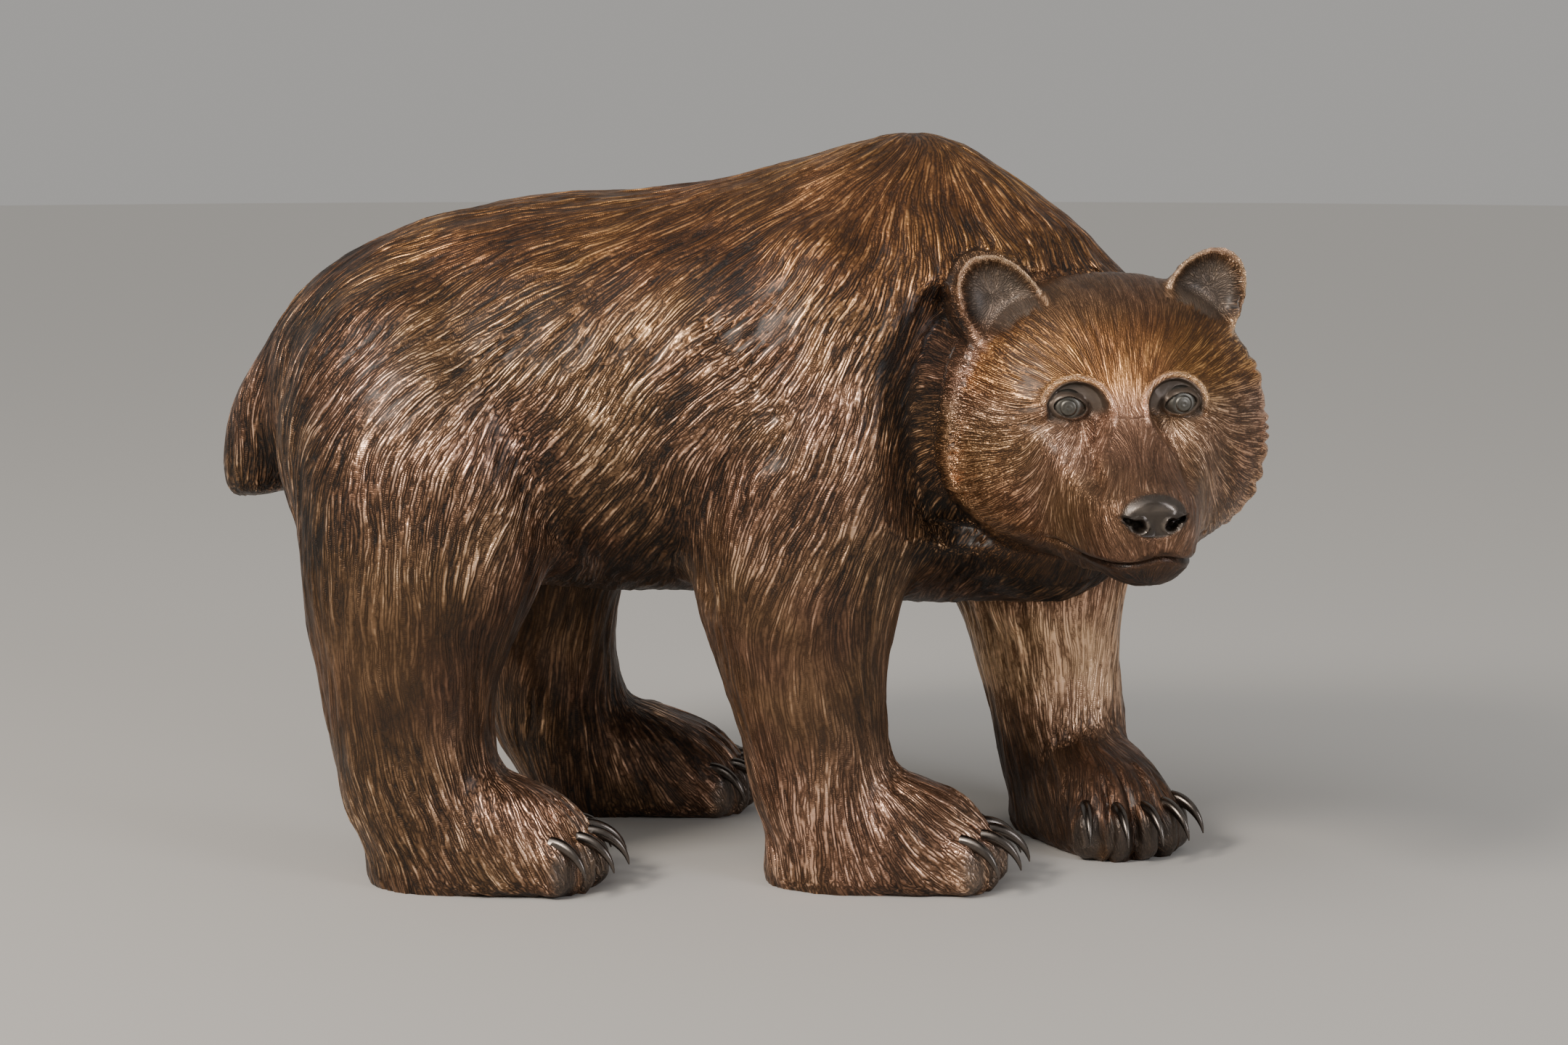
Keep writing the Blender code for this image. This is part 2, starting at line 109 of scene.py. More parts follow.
# A leg's stations from the body down: height, x ahead of the ankle, half length, half width share
HIND_LEG = (
    (0.400, -0.002, 0.080, 1.10),
    (0.340, 0.002, 0.102, 1.36),
    (0.275, 0.004, 0.099, 1.34),
    (0.220, 0.002, 0.090, 1.24),
    (0.180, -0.004, 0.077, 1.10),
    (0.140, -0.004, 0.067, 1.02),
    (0.100, 0.002, 0.063, 1.00),
    (0.060, 0.010, 0.062, 0.97),
    (0.025, 0.020, 0.056, 0.88),
    (-0.020, 0.028, 0.048, 0.76),
)
FORE_LEG = (
    (0.420, 0.010, 0.062, 0.90),
    (0.350, 0.000, 0.090, 1.25),
    (0.280, -0.008, 0.092, 1.30),
    (0.220, -0.012, 0.080, 1.20),
    (0.180, -0.010, 0.070, 1.08),
    (0.140, -0.005, 0.060, 1.02),
    (0.100, 0.002, 0.056, 1.00),
    (0.060, 0.008, 0.055, 0.97),
    (0.025, 0.018, 0.050, 0.88),
    (-0.020, 0.026, 0.043, 0.76),
)

# Ankle x and y, foot yaw in degrees, how far its heel is ahead of the usual place, how far the leg's
# top lies ahead and outwards, and its stations
LEGS = {
    "right_hind": (-0.250, -0.135, 0.0, 0.008, 0.014, -0.030, HIND_LEG),
    "left_hind": (-0.178, 0.124, 3.0, 0.016, -0.058, -0.024, HIND_LEG),
    "right_fore": (0.057, -0.098, 3.0, 0.002, 0.0, -0.004, FORE_LEG),
    "left_fore": (0.236, 0.108, -58.0, 0.0, -0.020, -0.036, FORE_LEG),
}

# A foot from heel to toes: share of its length, share of its half width, height
FOOT = (
    (0.00, 0.20, 0.044),
    (0.03, 0.42, 0.056),
    (0.10, 0.66, 0.062),
    (0.25, 0.89, 0.084),
    (0.45, 1.00, 0.091),
    (0.64, 0.99, 0.081),
    (0.80, 0.90, 0.068),
    (0.89, 0.78, 0.055),
    (0.94, 0.62, 0.040),
)
HEEL_BEHIND_ANKLE = 0.040
SOLE_EDGE = 0.012  # how high the rounding of a foot's lower edge begins
HEEL_RISE = 0.018  # and how much higher at the heel
HEEL_SHARE = 0.12  # the share of the foot over which that fades
TOE_RADII = (0.028, 0.0128, 0.0235)
TOE_PLACE = (-0.006, 0, 0.0)
TOE_TIP_PLACE = (0.007, 0, -0.010)
TOE_TIP_RADII = (0.015, 0.0120, 0.0135)
TOE_HEIGHT = 0.0235
TOE_FAN = radians(32)  # how far a toe at the foot's edge would turn outwards
TOE_ROW_BOW = 0.040  # how far an outer toe would lie behind the middle one at the foot's edge
TOE_ROW = (-0.72, -0.38, 0.0, 0.38, 0.71)  # across the foot, as shares of its half width
CLAW_REACH = 0.031  # from its root to its tip, along the foot
CLAW_DROP = 0.030
CLAW_RADIUS = 0.0046
CLAW_BEND = radians(80)  # the part of a turn that a claw makes
CLAW_ROOT = (0.006, 0.0185)  # ahead of and above the middle of its toe

# The head from nape to nose tip, in its own axes: x, centre z, half width, height above, depth below
HEAD = (
    (-0.090, 0.000, 0.055, 0.062, 0.060),
    (-0.070, 0.000, 0.082, 0.086, 0.082),
    (-0.040, -0.004, 0.101, 0.103, 0.094),
    (-0.012, -0.010, 0.112, 0.116, 0.094),
    (0.012, -0.014, 0.116, 0.114, 0.092),
    (0.032, -0.016, 0.106, 0.104, 0.089),
    (0.050, -0.020, 0.090, 0.089, 0.085),
    (0.066, -0.025, 0.073, 0.070, 0.080),
    (0.080, -0.032, 0.061, 0.053, 0.073),
    (0.095, -0.042, 0.052, 0.042, 0.064),
    (0.115, -0.052, 0.045, 0.035, 0.056),
    (0.135, -0.058, 0.038, 0.030, 0.049),
    (0.148, -0.060, 0.033, 0.027, 0.042),
    (0.158, -0.060, 0.026, 0.022, 0.029),
    (0.165, -0.058, 0.017, 0.014, 0.015),
)
HEAD_SQUARE = 2.25  # how full the corners of its sections are; 2 would be an ellipse
HEAD_CENTRE = Vector((0.2743, -0.0973, 0.360))
HEAD_YAW = radians(-77.4)
HEAD_ROLL = radians(1.5)
JAW_PLACE = (0.056, 0.0, -0.081)
JAW_RADII = (0.046, 0.056, 0.028)
NOSE_PLACE = (0.155, 0, -0.0520)
NOSE_RADII = (0.0145, 0.0205, 0.0135)
LIP_PLACE = (0.130, 0, -0.0960)
LIP_RADII = (0.021, 0.023, 0.0080)
MOUTH_HEIGHT = -0.0882  # of the line between the lips
EYE_PLACE = Vector((0.0565, 0.0405, 0.0140))  # of the left eye, in the head's own axes
EYE_TURN = radians(6)  # how far each eye looks outwards
LID_THICKNESS = 0.0016
HOLLOW_ASIDE = -0.0045  # how far the middle of an eye's hollow is outwards of the eye
HOLLOW_RADII = (0.0240, 0.0215, 0.0310)  # across, up and down, to the crest of the brow
OPENING_RADII = (0.0118, 0.0080, 0.0069)  # the same, of the almond between the lids
OPENING_SLANT = 0.10  # how fast the almond rises outwards
OPENING_SQUARE = 1.75  # how full its corners are; 2 would be an ellipse
NOSE_PAD_HEIGHT = -0.0530
NOSE_PAD_RADII = (0.0212, 0.0140)  # across and up
NOSTRIL_PLACE = (0.0112, -0.0592)  # aside and up
NOSTRIL_RADII = (0.0046, 0.0042)
NOSTRIL_SLIT = (0.0052, 0.0026)  # from there, outwards and up, to the middle of the slit at its side
NOSTRIL_SLIT_RADII = (0.0056, 0.0021)
EAR_PLACE = Vector((0.010, 0.0750, 0.0870))
EAR_ASIDE = -0.0030  # both ears sit this far to the head's right
EAR_YAW = radians(4)  # how far each opens outwards
EAR_PITCH = radians(-8)  # and how far back it tips
EAR_SLOPE = 0.36  # how fast an ear's rim falls towards the middle of the head
EAR_DROOP = 1.3  # how much longer an ear is below its middle than above

# An ear's turned profile from the bottom of its cup over the rim to its back: radius share, height
EAR = (
    (0.06, -0.0120),
    (0.40, -0.0116),
    (0.66, -0.0090),
    (0.80, -0.0050),
    (0.90, -0.0002),
    (0.96, 0.0020),
    (1.01, 0.0014),
    (1.04, -0.0030),
    (1.01, -0.0110),
    (0.88, -0.0185),
    (0.50, -0.0240),
    (0.06, -0.0250),
)

# The tail's stations down the rump: x, z, half width, half thickness
TAIL = (
    (-0.330, 0.440, 0.048, 0.020),
    (-0.358, 0.404, 0.052, 0.022),
    (-0.380, 0.368, 0.052, 0.026),
    (-0.393, 0.330, 0.049, 0.030),
    (-0.398, 0.300, 0.045, 0.030),
    (-0.396, 0.279, 0.041, 0.026),
)

# Mesh fineness
RING_SIDES = 28
STEPS_BETWEEN = 4  # rings between two stations of a loft
SPHERE_STEPS = 14
FORM_VOXEL = 0.006  # the first, coarse skin over torso, legs and neck
DETAIL_VOXEL = 0.0032  # the second skin, with ears, face and toes
FORM_SMOOTHING = 28  # how often each skin is relaxed
HEAD_SMOOTHING = 8
FIGURE_SMOOTHING = 4
CLAW_SIDES = 12
CLAW_STEPS = 12
EYE_SIDES = 48
EYE_STEPS = 40

# Soft valleys on the sides, as points ahead and up, with how wide and how deep each is: along the
# shoulder blade, behind the elbow, in front of the haunch
VALLEYS = (
    (((-0.016, 0.425), (0.015, 0.389), (0.042, 0.354)), 0.011, 0.0034),
    (((0.032, 0.340), (0.000, 0.315), (-0.018, 0.270), (-0.022, 0.228)), 0.013, 0.0052),
    (((-0.155, 0.345), (-0.142, 0.296), (-0.123, 0.235)), 0.015, 0.0042),
)

# An eye's engraved lines: radius from its middle, depth, half width
EYE_LINES = ((0.0064, 0.0006, 0.0007), (0.0031, 0.0005, 0.0006), (0.0, 0.0006, 0.0014))

# How far each part is made brighter, or with a minus darker, partly for the bronze's own tone and wear and
# partly as painted highlights and painted shade, noted at each table: those of the body, the legs and the
# head, those that both share, and at last the mouth and the nose, which may be darker than the rest
# Of the body: the flank's lift is partly a painted highlight of its lit side, and the underside and the
# throat under the head are darkened as painted shade
BODY_RUB_AND_LIGHT = {"flank": 0.5, "back": -0.4, "hump": 1.0, "rear": -1.1, "under": -0.9, "throat": -1.0}
# Of the legs: the near feet and the lit front of the far foreleg's shin are painted with highlights, and the
# far forefoot with shade
LEG_RUB_AND_LIGHT = {"feet": 1.3, "shin": 2.6, "far_foot": -1.1, "hind_leg": -0.5}
# Of the head: the chin under the jaw is darkened as painted shade, and the muzzle a little, as painted shade
# on its lit upper side
HEAD_RUB_AND_LIGHT = {"all": 1.0, "muzzle": -0.4, "chin": -2.4, "crown": -1.1, "forehead": 1.7}
# Of both: the collar of the neck behind and under the head is darkened as painted shade, and the ruff's edge
# and the cheeks' edge are painted with highlights
COAT_RUB_AND_LIGHT = {"patchy": 0.5, "collar": -1.9, "ruff": 2.3, "fringe": 0.4, "toes": -1.2}
# Of the face: the brows are burnished and painted with a highlight, and the sockets are darkened as painted
# shade under the brows
FACE_RUB_AND_LIGHT = {"brows": 7.5, "below_eyes": 1.8, "lids": 1.0, "sockets": -2.0, "nose_pad": -2.6}
# Of the ears: the rims are painted with a highlight, and the cups are darker
EAR_RUB_AND_LIGHT = {"ear_rims": 3.6, "cups": -0.9}
# The darkest that the tables above may make a part, painted shade included
DARKEST_RUB_AND_SHADE = -1.8
# Of mouth and nose: the gap between the lips is darkened as painted shade, and a band along the nose's top
# edge is painted as a highlight
LAST_RUB_AND_LIGHT = {"lips": -0.5, "gap": -2.0, "nose_pad": -0.8, "nose_top": 3.0}
# Painted shade in the nostrils, and painted highlights on their rims and on the nose's inner curls
NOSTRIL_SHADE_AND_HIGHLIGHTS = {"nostrils": -3.0, "nostril_rims": 2.4, "nose_wings": 3.5}

# How boldly the strands show; on the flank and the near feet they are bolder partly to paint the glints of
# their lit sides as highlights
BODY_BOLD = {"all": 0.72, "flank": 0.36, "feet": 0.25, "leg": -0.30}
HEAD_BOLD = {"all": 0.42, "cheek": 0.28}
BOLD = {"throat": 0.3, "fringe": 0.2, "ruff": 0.5, "brows": 0.4, "below_eyes": 0.4}
CROWN_BOLD = -0.05

# Where the patina is cool and dark, where it is yellow on the head, and where the bronze has no coat
UMBER = {"sockets": 0.70, "cups": 0.60, "nose_pad": 0.85, "toes": 0.5}
HEAD_AMBER = {"forehead_coat": 1.0, "jaw_coat": 0.5}
SMOOTH = {"nose_pad": 1.0, "lips": 0.5, "toes": 0.4}

# Patterns in the bronze, as how many there are to a metre
BLOTCHES = 26.0  # one in 38 mm, where the patina took unevenly
PATCHES = 11.0  # one in 90 mm, of a yellower or redder cast
GRAIN = 900.0  # one in 1.1 mm; a cast skin's own grain is finer, and wouldn't show
CLAW_CLOUDS = 120.0  # one in 8 mm
EYE_CLOUDS = 300.0  # one in 3 mm
MIX_LOW, MIX_HIGH, MIX_COLOUR = 6, 7, 2  # a Mix node's colour sockets, whose names it uses for others too

FLOOR_RADIUS = 14.0
CAMERA_PLACE = (0.3282, -2.3224, 0.6)
CAMERA_DROP = radians(8.1)  # how far below level the camera looks
CAMERA_YAW = radians(7)
LIGHT_AIM = (0.0, 0.0, 0.3)

SIDES = (-1, 1)  # right and left
FAR = 9.0  # a distance that is out of reach of what is measured from a feature's middle
HUMP_PEAK = np.array((0.120, 0.0, 0.570))
BROW_MIDDLE = np.array((0.085, 0.0, 0.004))  # where the face's coat parts, in the head's own axes
BIB_LIE = np.array((-0.6, 0.0, -0.7))  # the way the coat lies on the chest
DOWN = np.array((0.0, 0.0, -1.0))
SHARPEST_BEND = 60.0  # of a hair, in radians per metre
NOISE_KNOTS = 64  # how many random values lie along each edge of the block that the locks are cut from
LOCK_TAPS = 15  # how many samples are taken along a lock
LINE_TAPS = 21  # and along a strand
LINE_GAIN = 0.42  # brings the folded sum of the taps to between 0 and 1
LINE_SHAPE = 0.7  # under 1 a strand is broad and its groove narrow


def metres(name, description, default):
    """A length that the user can change."""
    return FloatProperty(name=name, description=description, default=default, unit="LENGTH")


class CubSizes(bpy.types.PropertyGroup):
    """The driving dimensions of the figure."""

    leg_thickness: metres("Leg thickness", "Half of a leg's width above the ankle", 0.056)
    foot_length: metres("Foot length", "From heel to toes", 0.184)
    foot_half_width: metres("Foot half width", "Half of a foot's width", 0.052)
    ear_radius: metres("Ear radius", "Of an ear's rim", 0.0325)
    eye_radius: metres("Eye radius", "Of an eyeball", 0.0155)


class CoatSizes(bpy.types.PropertyGroup):
    """How the coat is chased."""

    body_width: metres("Body lock width", "From groove to crest, across a lock", 0.0030)
    body_length: metres("Body lock length", "Of one lock", 0.034)
    body_depth: metres("Body lock depth", "From groove to crest", 0.0015)
    head_share: FloatProperty(
        name="Head hair share",
        description="Width and length of the head's hair beside the body's",
        default=0.62,
    )
    head_depth: metres("Head hair depth", "From groove to crest", 0.0007)
    line_width: metres("Strand width", "From one groove to the next", 0.0025)
    line_length: metres("Strand length", "Of a strand", 0.033)
    triangles: IntProperty(
        name="Triangles", description="Of the thinned figure", default=186000, min=1000
    )
    seed: IntProperty(name="Seed", description="Of the pattern of locks", default=7)


def head_frame():
    """The head's own axes at its centre: +X to the muzzle, +Y to its left ear, +Z to its crown."""
    return Matrix.Translation(HEAD_CENTRE) @ Euler((HEAD_ROLL, 0, HEAD_YAW)).to_matrix().to_4x4()


def between(rows, steps):
    """The rows with steps points from each to the next, on a Catmull-Rom curve through them."""
    rows = np.array(rows, float)
    ends = np.vstack((2 * rows[0] - rows[1], rows, 2 * rows[-1] - rows[-2]))
    out = []
    for i in range(1, len(ends) - 2):
        p0, p1, p2, p3 = ends[i - 1 : i + 3]
        for step in range(steps):
            t = step / steps
            line = 2 * p1 + (p2 - p0) * t
            bend = (2 * p0 - 5 * p1 + 4 * p2 - p3) * t**2 + (3 * p1 - p0 - 3 * p2 + p3) * t**3
            out.append((line + bend) / 2)
    return out + [rows[-1]]


def add_loft(bm, rings):
    """A closed skin over rings of points, each ring with the same number of points."""
    loops = [[bm.verts.new(point) for point in ring] for ring in rings]
    for low, high in zip(loops, loops[1:]):
        for i in range(len(low)):
            j = (i + 1) % len(low)
            bm.faces.new((low[i], low[j], high[j], high[i]))
    bm.faces.new(reversed(loops[0]))
    bm.faces.new(loops[-1])


def oval(centre, side, up, down=None, square=2.0, narrow_top=0.0):
    """A ring round centre with half axes side, up and down. Over 2, square fills its corners, and
    narrow_top pinches its upper half."""
    down = up if down is None else down
    ring = []
    for i in range(RING_SIDES):
        angle = 2 * pi * i / RING_SIDES
        across = abs(cos(angle)) ** (2 / square) * (1 if cos(angle) > 0 else -1)
        level = abs(sin(angle)) ** (2 / square)
        above = sin(angle) > 0
        pinch = 1 - narrow_top * level**2 if above else 1
        ring.append(centre + side * across * pinch + (up * level if above else down * -level))
    return ring


def add_ellipsoid(bm, matrix, centre, radii):
    """A sphere stretched to radii about centre, in the axes of matrix."""
    place = matrix @ Matrix.Translation(centre) @ Matrix.Diagonal((*radii, 1.0))
    rings = []
    for step in range(1, SPHERE_STEPS):
        angle = pi * step / SPHERE_STEPS
        level = Vector((0, 0, cos(angle)))
        reach = sin(angle)
        ring = oval(level, Vector((reach, 0, 0)), Vector((0, reach, 0)))
        rings.append([place @ point for point in ring])
    add_loft(bm, rings)


def add_torso(bm):
    rings = []
    for x, top, bottom, half_width, narrow in between(TORSO, STEPS_BETWEEN):
        centre = Vector((x, 0, (top + bottom) / 2))
        up = Vector((0, 0, (top - bottom) / 2))
        rings.append(oval(centre, Vector((0, half_width, 0)), up, narrow_top=narrow))
    add_loft(bm, rings)


def add_masses(bm):
    """Haunches and shoulders, the muscle that carries the legs into the body, and the chest's bib."""
    for middle, radii in MASSES:
        add_ellipsoid(bm, Matrix.Identity(4), middle, radii)


def foot_frame(ankle_x, ankle_y, yaw, heel_ahead, *_):
    """A foot's own axes: its heel at the origin, +X to the toes."""
    turn = Matrix.Rotation(radians(yaw), 4, "Z")
    ankle = Matrix.Translation((ankle_x, ankle_y, 0))
    return ankle @ turn @ Matrix.Translation((heel_ahead - HEEL_BEHIND_ANKLE, 0, 0))


def add_leg(bm, sizes, ankle_x, ankle_y, yaw, _, ahead_at_top, out_at_top, stations):
    """A leg's column; low down it turns with the foot, and at the top it lies along the body."""
    top = stations[0][0]
    outward = 1 if ankle_y > 0 else -1
    rings = []
    for z, ahead, half_length, width_share in between(stations, STEPS_BETWEEN):
        rise = min(max(z / top, 0.0), 1.0)
        turn = Matrix.Rotation(radians(yaw) * (1 - rise) ** 1.5, 3, "Z")
        centre = Vector((ankle_x, ankle_y, z)) + turn @ Vector((ahead, 0, 0))
        centre.x += ahead_at_top * rise
        centre.y += outward * out_at_top * rise**2
        side = turn @ Vector((half_length, 0, 0))
        depth = turn @ Vector((0, sizes.leg_thickness * width_share, 0))
        rings.append(oval(centre, side, depth))
    add_loft(bm, rings)


def add_foot(bm, sizes, axes):
    """The foot's domed block with its lower edge rounded, carried below the base plane so that its
    flattening leaves a clean sole."""
    rings = []
    for share, width_share, height in between(FOOT, STEPS_BETWEEN):
        edge = SOLE_EDGE + HEEL_RISE * max(0.0, 1 - share / HEEL_SHARE)
        centre = axes @ Vector((share * sizes.foot_length, 0, edge))
        side = axes.to_3x3() @ Vector((0, sizes.foot_half_width * width_share, 0))
        above = Vector((0, 0, height - edge))
        below = Vector((0, 0, min(1.5 * edge, 0.55 * height)))
        rings.append(oval(centre, side, above, below, square=2.5))
    add_loft(bm, rings)


def toe_places(sizes):
    """Each toe's centre and heading in its foot's axes; the row bows forward in the middle."""
    for share in TOE_ROW:
        ahead = 0.90 * sizes.foot_length - TOE_ROW_BOW * share**2
        yield Vector((ahead, share * sizes.foot_half_width, TOE_HEIGHT)), TOE_FAN * share


def toe_frames(sizes, axes):
    """Each toe's own axes: its centre at the origin, +X to its claw."""
    for place, heading in toe_places(sizes):
        yield axes @ Matrix.Translation(place) @ Matrix.Rotation(heading, 4, "Z")


def add_toes(bm, sizes, axes):
    for toe in toe_frames(sizes, axes):
        add_ellipsoid(bm, toe, TOE_PLACE, TOE_RADII)
        add_ellipsoid(bm, toe, TOE_TIP_PLACE, TOE_TIP_RADII)


def add_claws(bm, sizes, axes):
    """Long claws that leave the top of each toe, run forward and curve down towards the ground."""
    for toe in toe_frames(sizes, axes):
        rings = []
        for step in range(CLAW_STEPS + 1):
            t = step / CLAW_STEPS
            angle = CLAW_BEND * t
            ahead = CLAW_ROOT[0] + CLAW_REACH * sin(angle)
            height = CLAW_ROOT[1] - CLAW_DROP * (1 - cos(angle))
            along = Vector((cos(angle) * CLAW_REACH, 0, -sin(angle) * CLAW_DROP)).normalized()
            up = Vector((-along.z, 0, along.x))
            radius = CLAW_RADIUS * (1 - 0.90 * t**1.8)
            ring = []
            for i in range(CLAW_SIDES):
                turn = 2 * pi * i / CLAW_SIDES
                point = up * (radius * 1.15 * sin(turn)) + Vector((0, radius * cos(turn), 0))
                ring.append(toe @ (Vector((ahead, 0, height)) + point))
            rings.append(ring)
        add_loft(bm, rings)


def add_head(bm, axes):
    """Skull, cheek ruff and muzzle as one loft from nape to nose, and the broad jaw under it."""
    rings = []
    for ahead, level, half_width, above, below in between(HEAD, STEPS_BETWEEN):
        centre = Vector((ahead, 0, level))
        side = Vector((0, half_width, 0))
        ring = oval(centre, side, Vector((0, 0, above)), Vector((0, 0, below)), square=HEAD_SQUARE)
        rings.append([axes @ point for point in ring])
    add_loft(bm, rings)
    add_ellipsoid(bm, axes, JAW_PLACE, JAW_RADII)


def add_neck(bm, axes):
    """The thick neck from between the shoulders to the back of the skull."""
    stations = (*NECK, (axes @ NAPE[0], *NAPE[1:]))
    rows = between([(*centre, width, height) for centre, width, height in stations], STEPS_BETWEEN)
    centres = [Vector(row[:3]) for row in rows]
    rings = []
    for i, row in enumerate(rows):
        along = centres[min(i + 1, len(rows) - 1)] - centres[max(i - 1, 0)]
        side = along.cross(Vector((0, 0, 1))).normalized()
        up = side.cross(along).normalized()
        rings.append(oval(centres[i], side * row[3], up * row[4]))
    add_loft(bm, rings)


def add_tail(bm):
    """A short thick flap that lies on the rump and ends square."""
    rows = between(TAIL, STEPS_BETWEEN)
    points = [Vector((row[0], 0, row[1])) for row in rows]
    rings = []
    for i, row in enumerate(rows):
        along = (points[min(i + 1, len(rows) - 1)] - points[max(i - 1, 0)]).normalized()
        out = Vector((along.z, 0, -along.x))
        rings.append(oval(points[i], Vector((0, row[2], 0)), out * row[3], square=2.4))
    add_loft(bm, rings)


def ear_frames(axes):
    """Each ear's own axes: its cup opens along +X, ahead and a little outwards."""
    for side in SIDES:
        place = Vector((EAR_PLACE.x, side * EAR_PLACE.y + EAR_ASIDE, EAR_PLACE.z))
        turn = Euler((0, EAR_PITCH, side * EAR_YAW)).to_matrix().to_4x4()
        yield axes @ Matrix.Translation(place) @ turn


def add_ears(bm, sizes, axes):
    for side, ear in zip(SIDES, ear_frames(axes)):
        slope = Matrix.Identity(4)
        slope[2][1] = side * EAR_SLOPE
        rings = []
        for share, height in EAR:
            across = Vector((0, share * sizes.ear_radius, 0))
            rise = Vector((0, 0, share * sizes.ear_radius))
            ring = oval(Vector((height, 0, 0)), across, rise, rise * EAR_DROOP)
            rings.append([ear @ slope @ point for point in ring])
        add_loft(bm, rings)


def add_nose(bm, axes):
    """The nose pad and the lower lip."""
    add_ellipsoid(bm, axes, NOSE_PLACE, NOSE_RADII)
    add_ellipsoid(bm, axes, LIP_PLACE, LIP_RADII)


def new_mesh(name, bm):
    bmesh.ops.recalc_face_normals(bm, faces=bm.faces)
    mesh = bpy.data.meshes.new(name)
    bm.to_mesh(mesh)
    bm.free()
    return mesh


def new_object(name, mesh):
    obj = bpy.data.objects.new(name, mesh)
    bpy.context.scene.collection.objects.link(obj)
    return obj


def add_skin(obj, voxel, smooth_steps):
    """One even skin over overlapping shapes, with its creases smoothed into fillets."""
    remesh = obj.modifiers.new("skin", "REMESH")
    remesh.mode = "VOXEL"
    remesh.voxel_size = voxel
    smooth = obj.modifiers.new("fillets", "SMOOTH")
    smooth.factor = 0.5
    smooth.iterations = smooth_steps


def baked(obj, *helpers):
    """The object's mesh with its modifiers applied; the object and its helpers go."""
    graph = bpy.context.evaluated_depsgraph_get()
    mesh = bpy.data.meshes.new_from_object(obj.evaluated_get(graph))
    for done in (obj, *helpers):
        bpy.data.objects.remove(done)
    return mesh


def make_form(sizes, axes):
    """Torso, legs, neck and tail grown together, without hard creases between the muscles."""
    bm = bmesh.new()
    add_masses(bm)
    add_torso(bm)
    add_neck(bm, axes)
    add_tail(bm)
    for leg in LEGS.values():
        add_leg(bm, sizes, *leg)
        add_foot(bm, sizes, foot_frame(*leg))
    form = new_object("form", new_mesh("form", bm))
    add_skin(form, FORM_VOXEL, FORM_SMOOTHING)
    return baked(form)


def make_head(axes):
    """Head and nose as one skin."""
    bm = bmesh.new()
    add_head(bm, axes)
    add_nose(bm, axes)
    head = new_object("head", new_mesh("head", bm))
    add_skin(head, DETAIL_VOXEL, HEAD_SMOOTHING)
    return baked(head)


def split_face(mesh, axes):
    """Halves the quads round eyes, nose and mouth."""
    bm = bmesh.new()
    bm.from_mesh(mesh)
    inverse = axes.inverted()
    face = []
    for quad in bm.faces:
        middle = inverse @ quad.calc_center_median()
        if middle.x > 0.03 and abs(middle.y) < 0.08 and -0.12 < middle.z < 0.06:
            face.append(quad)
    edges = list(dict.fromkeys(edge for quad in face for edge in quad.edges))
    bmesh.ops.subdivide_edges(bm, edges=edges, cuts=1, use_grid_fill=True)
    bm.to_mesh(mesh)
    bm.free()


def make_figure(sizes, axes):
    """Form and head joined, with ears, feet and toes, in even quads of about half the second voxel,
    and half of that again on the face."""
    bm = bmesh.new()
    add_ears(bm, sizes, axes)
    for leg in LEGS.values():
        add_toes(bm, sizes, foot_frame(*leg))
        add_foot(bm, sizes, foot_frame(*leg))
    bm.from_mesh(make_form(sizes, axes))
    bm.from_mesh(make_head(axes))
    figure = new_object("figure", new_mesh("figure", bm))
    add_skin(figure, DETAIL_VOXEL, FIGURE_SMOOTHING)
    mesh = baked(figure)
    split_face(mesh, axes)
    figure = new_object("figure", mesh)
    finer = figure.modifiers.new("finer", "SUBSURF")
    finer.levels = 1
    finer.quality = 1
    finer.use_limit_surface = False
    return baked(figure)


def smooth_step(low, high, value):
    """0 up to low and 1 from high on, with an even rise between; low may be above high."""
    t = np.clip((value - low) / (high - low), 0, 1)
    return t * t * (3 - 2 * t)


def band(value, rise, fall):
    """1 between a rise and a fall, each given by where it starts and ends, and 0 beyond them."""
    return smooth_step(*rise, value) * smooth_step(*fall, value)


def bump(value, middle, reach):
    """1 at middle, falling away to either side over about reach."""
    return np.exp(-(((value - middle) / reach) ** 2))


def length_of(vectors):
    return np.sqrt((vectors * vectors).sum(axis=1))


def unit(vectors):
    return vectors / np.maximum(length_of(vectors), 1e-9)[:, None]


def in_axes(matrix, points):
    """Points or rows of points in the matrix's own axes."""
    inverse = np.array(matrix.inverted())
    return points @ inverse[:3, :3].T + inverse[:3, 3]


def turned_by(matrix, vectors):
    """Directions given in the matrix's own axes, in the figure's."""
    return vectors @ np.array(matrix)[:3, :3].T


def swell(points, size, seed):
    """A soft, random rise and fall between about -1 and 1, whose waves are about size long."""
    rng = np.random.default_rng(seed)
    total = np.zeros(len(points))
    for _ in range(7):
        wave = rng.normal(size=3)
        wave *= 2 * pi / size / np.linalg.norm(wave) * rng.uniform(0.6, 1.5)
        total += np.sin(points @ wave + rng.uniform(0, 2 * pi))
    return total / 3


def points_of(mesh):
    points = np.empty(len(mesh.vertices) * 3)
    mesh.vertices.foreach_get("co", points)
    return points.reshape(-1, 3)


def normals_of(mesh):
    normals = np.empty(len(mesh.vertices) * 3)
    mesh.vertex_normals.foreach_get("vector", normals)
    return normals.reshape(-1, 3)


def set_points(mesh, points):
    mesh.vertices.foreach_set("co", points.astype(np.float32).ravel())
    mesh.update()


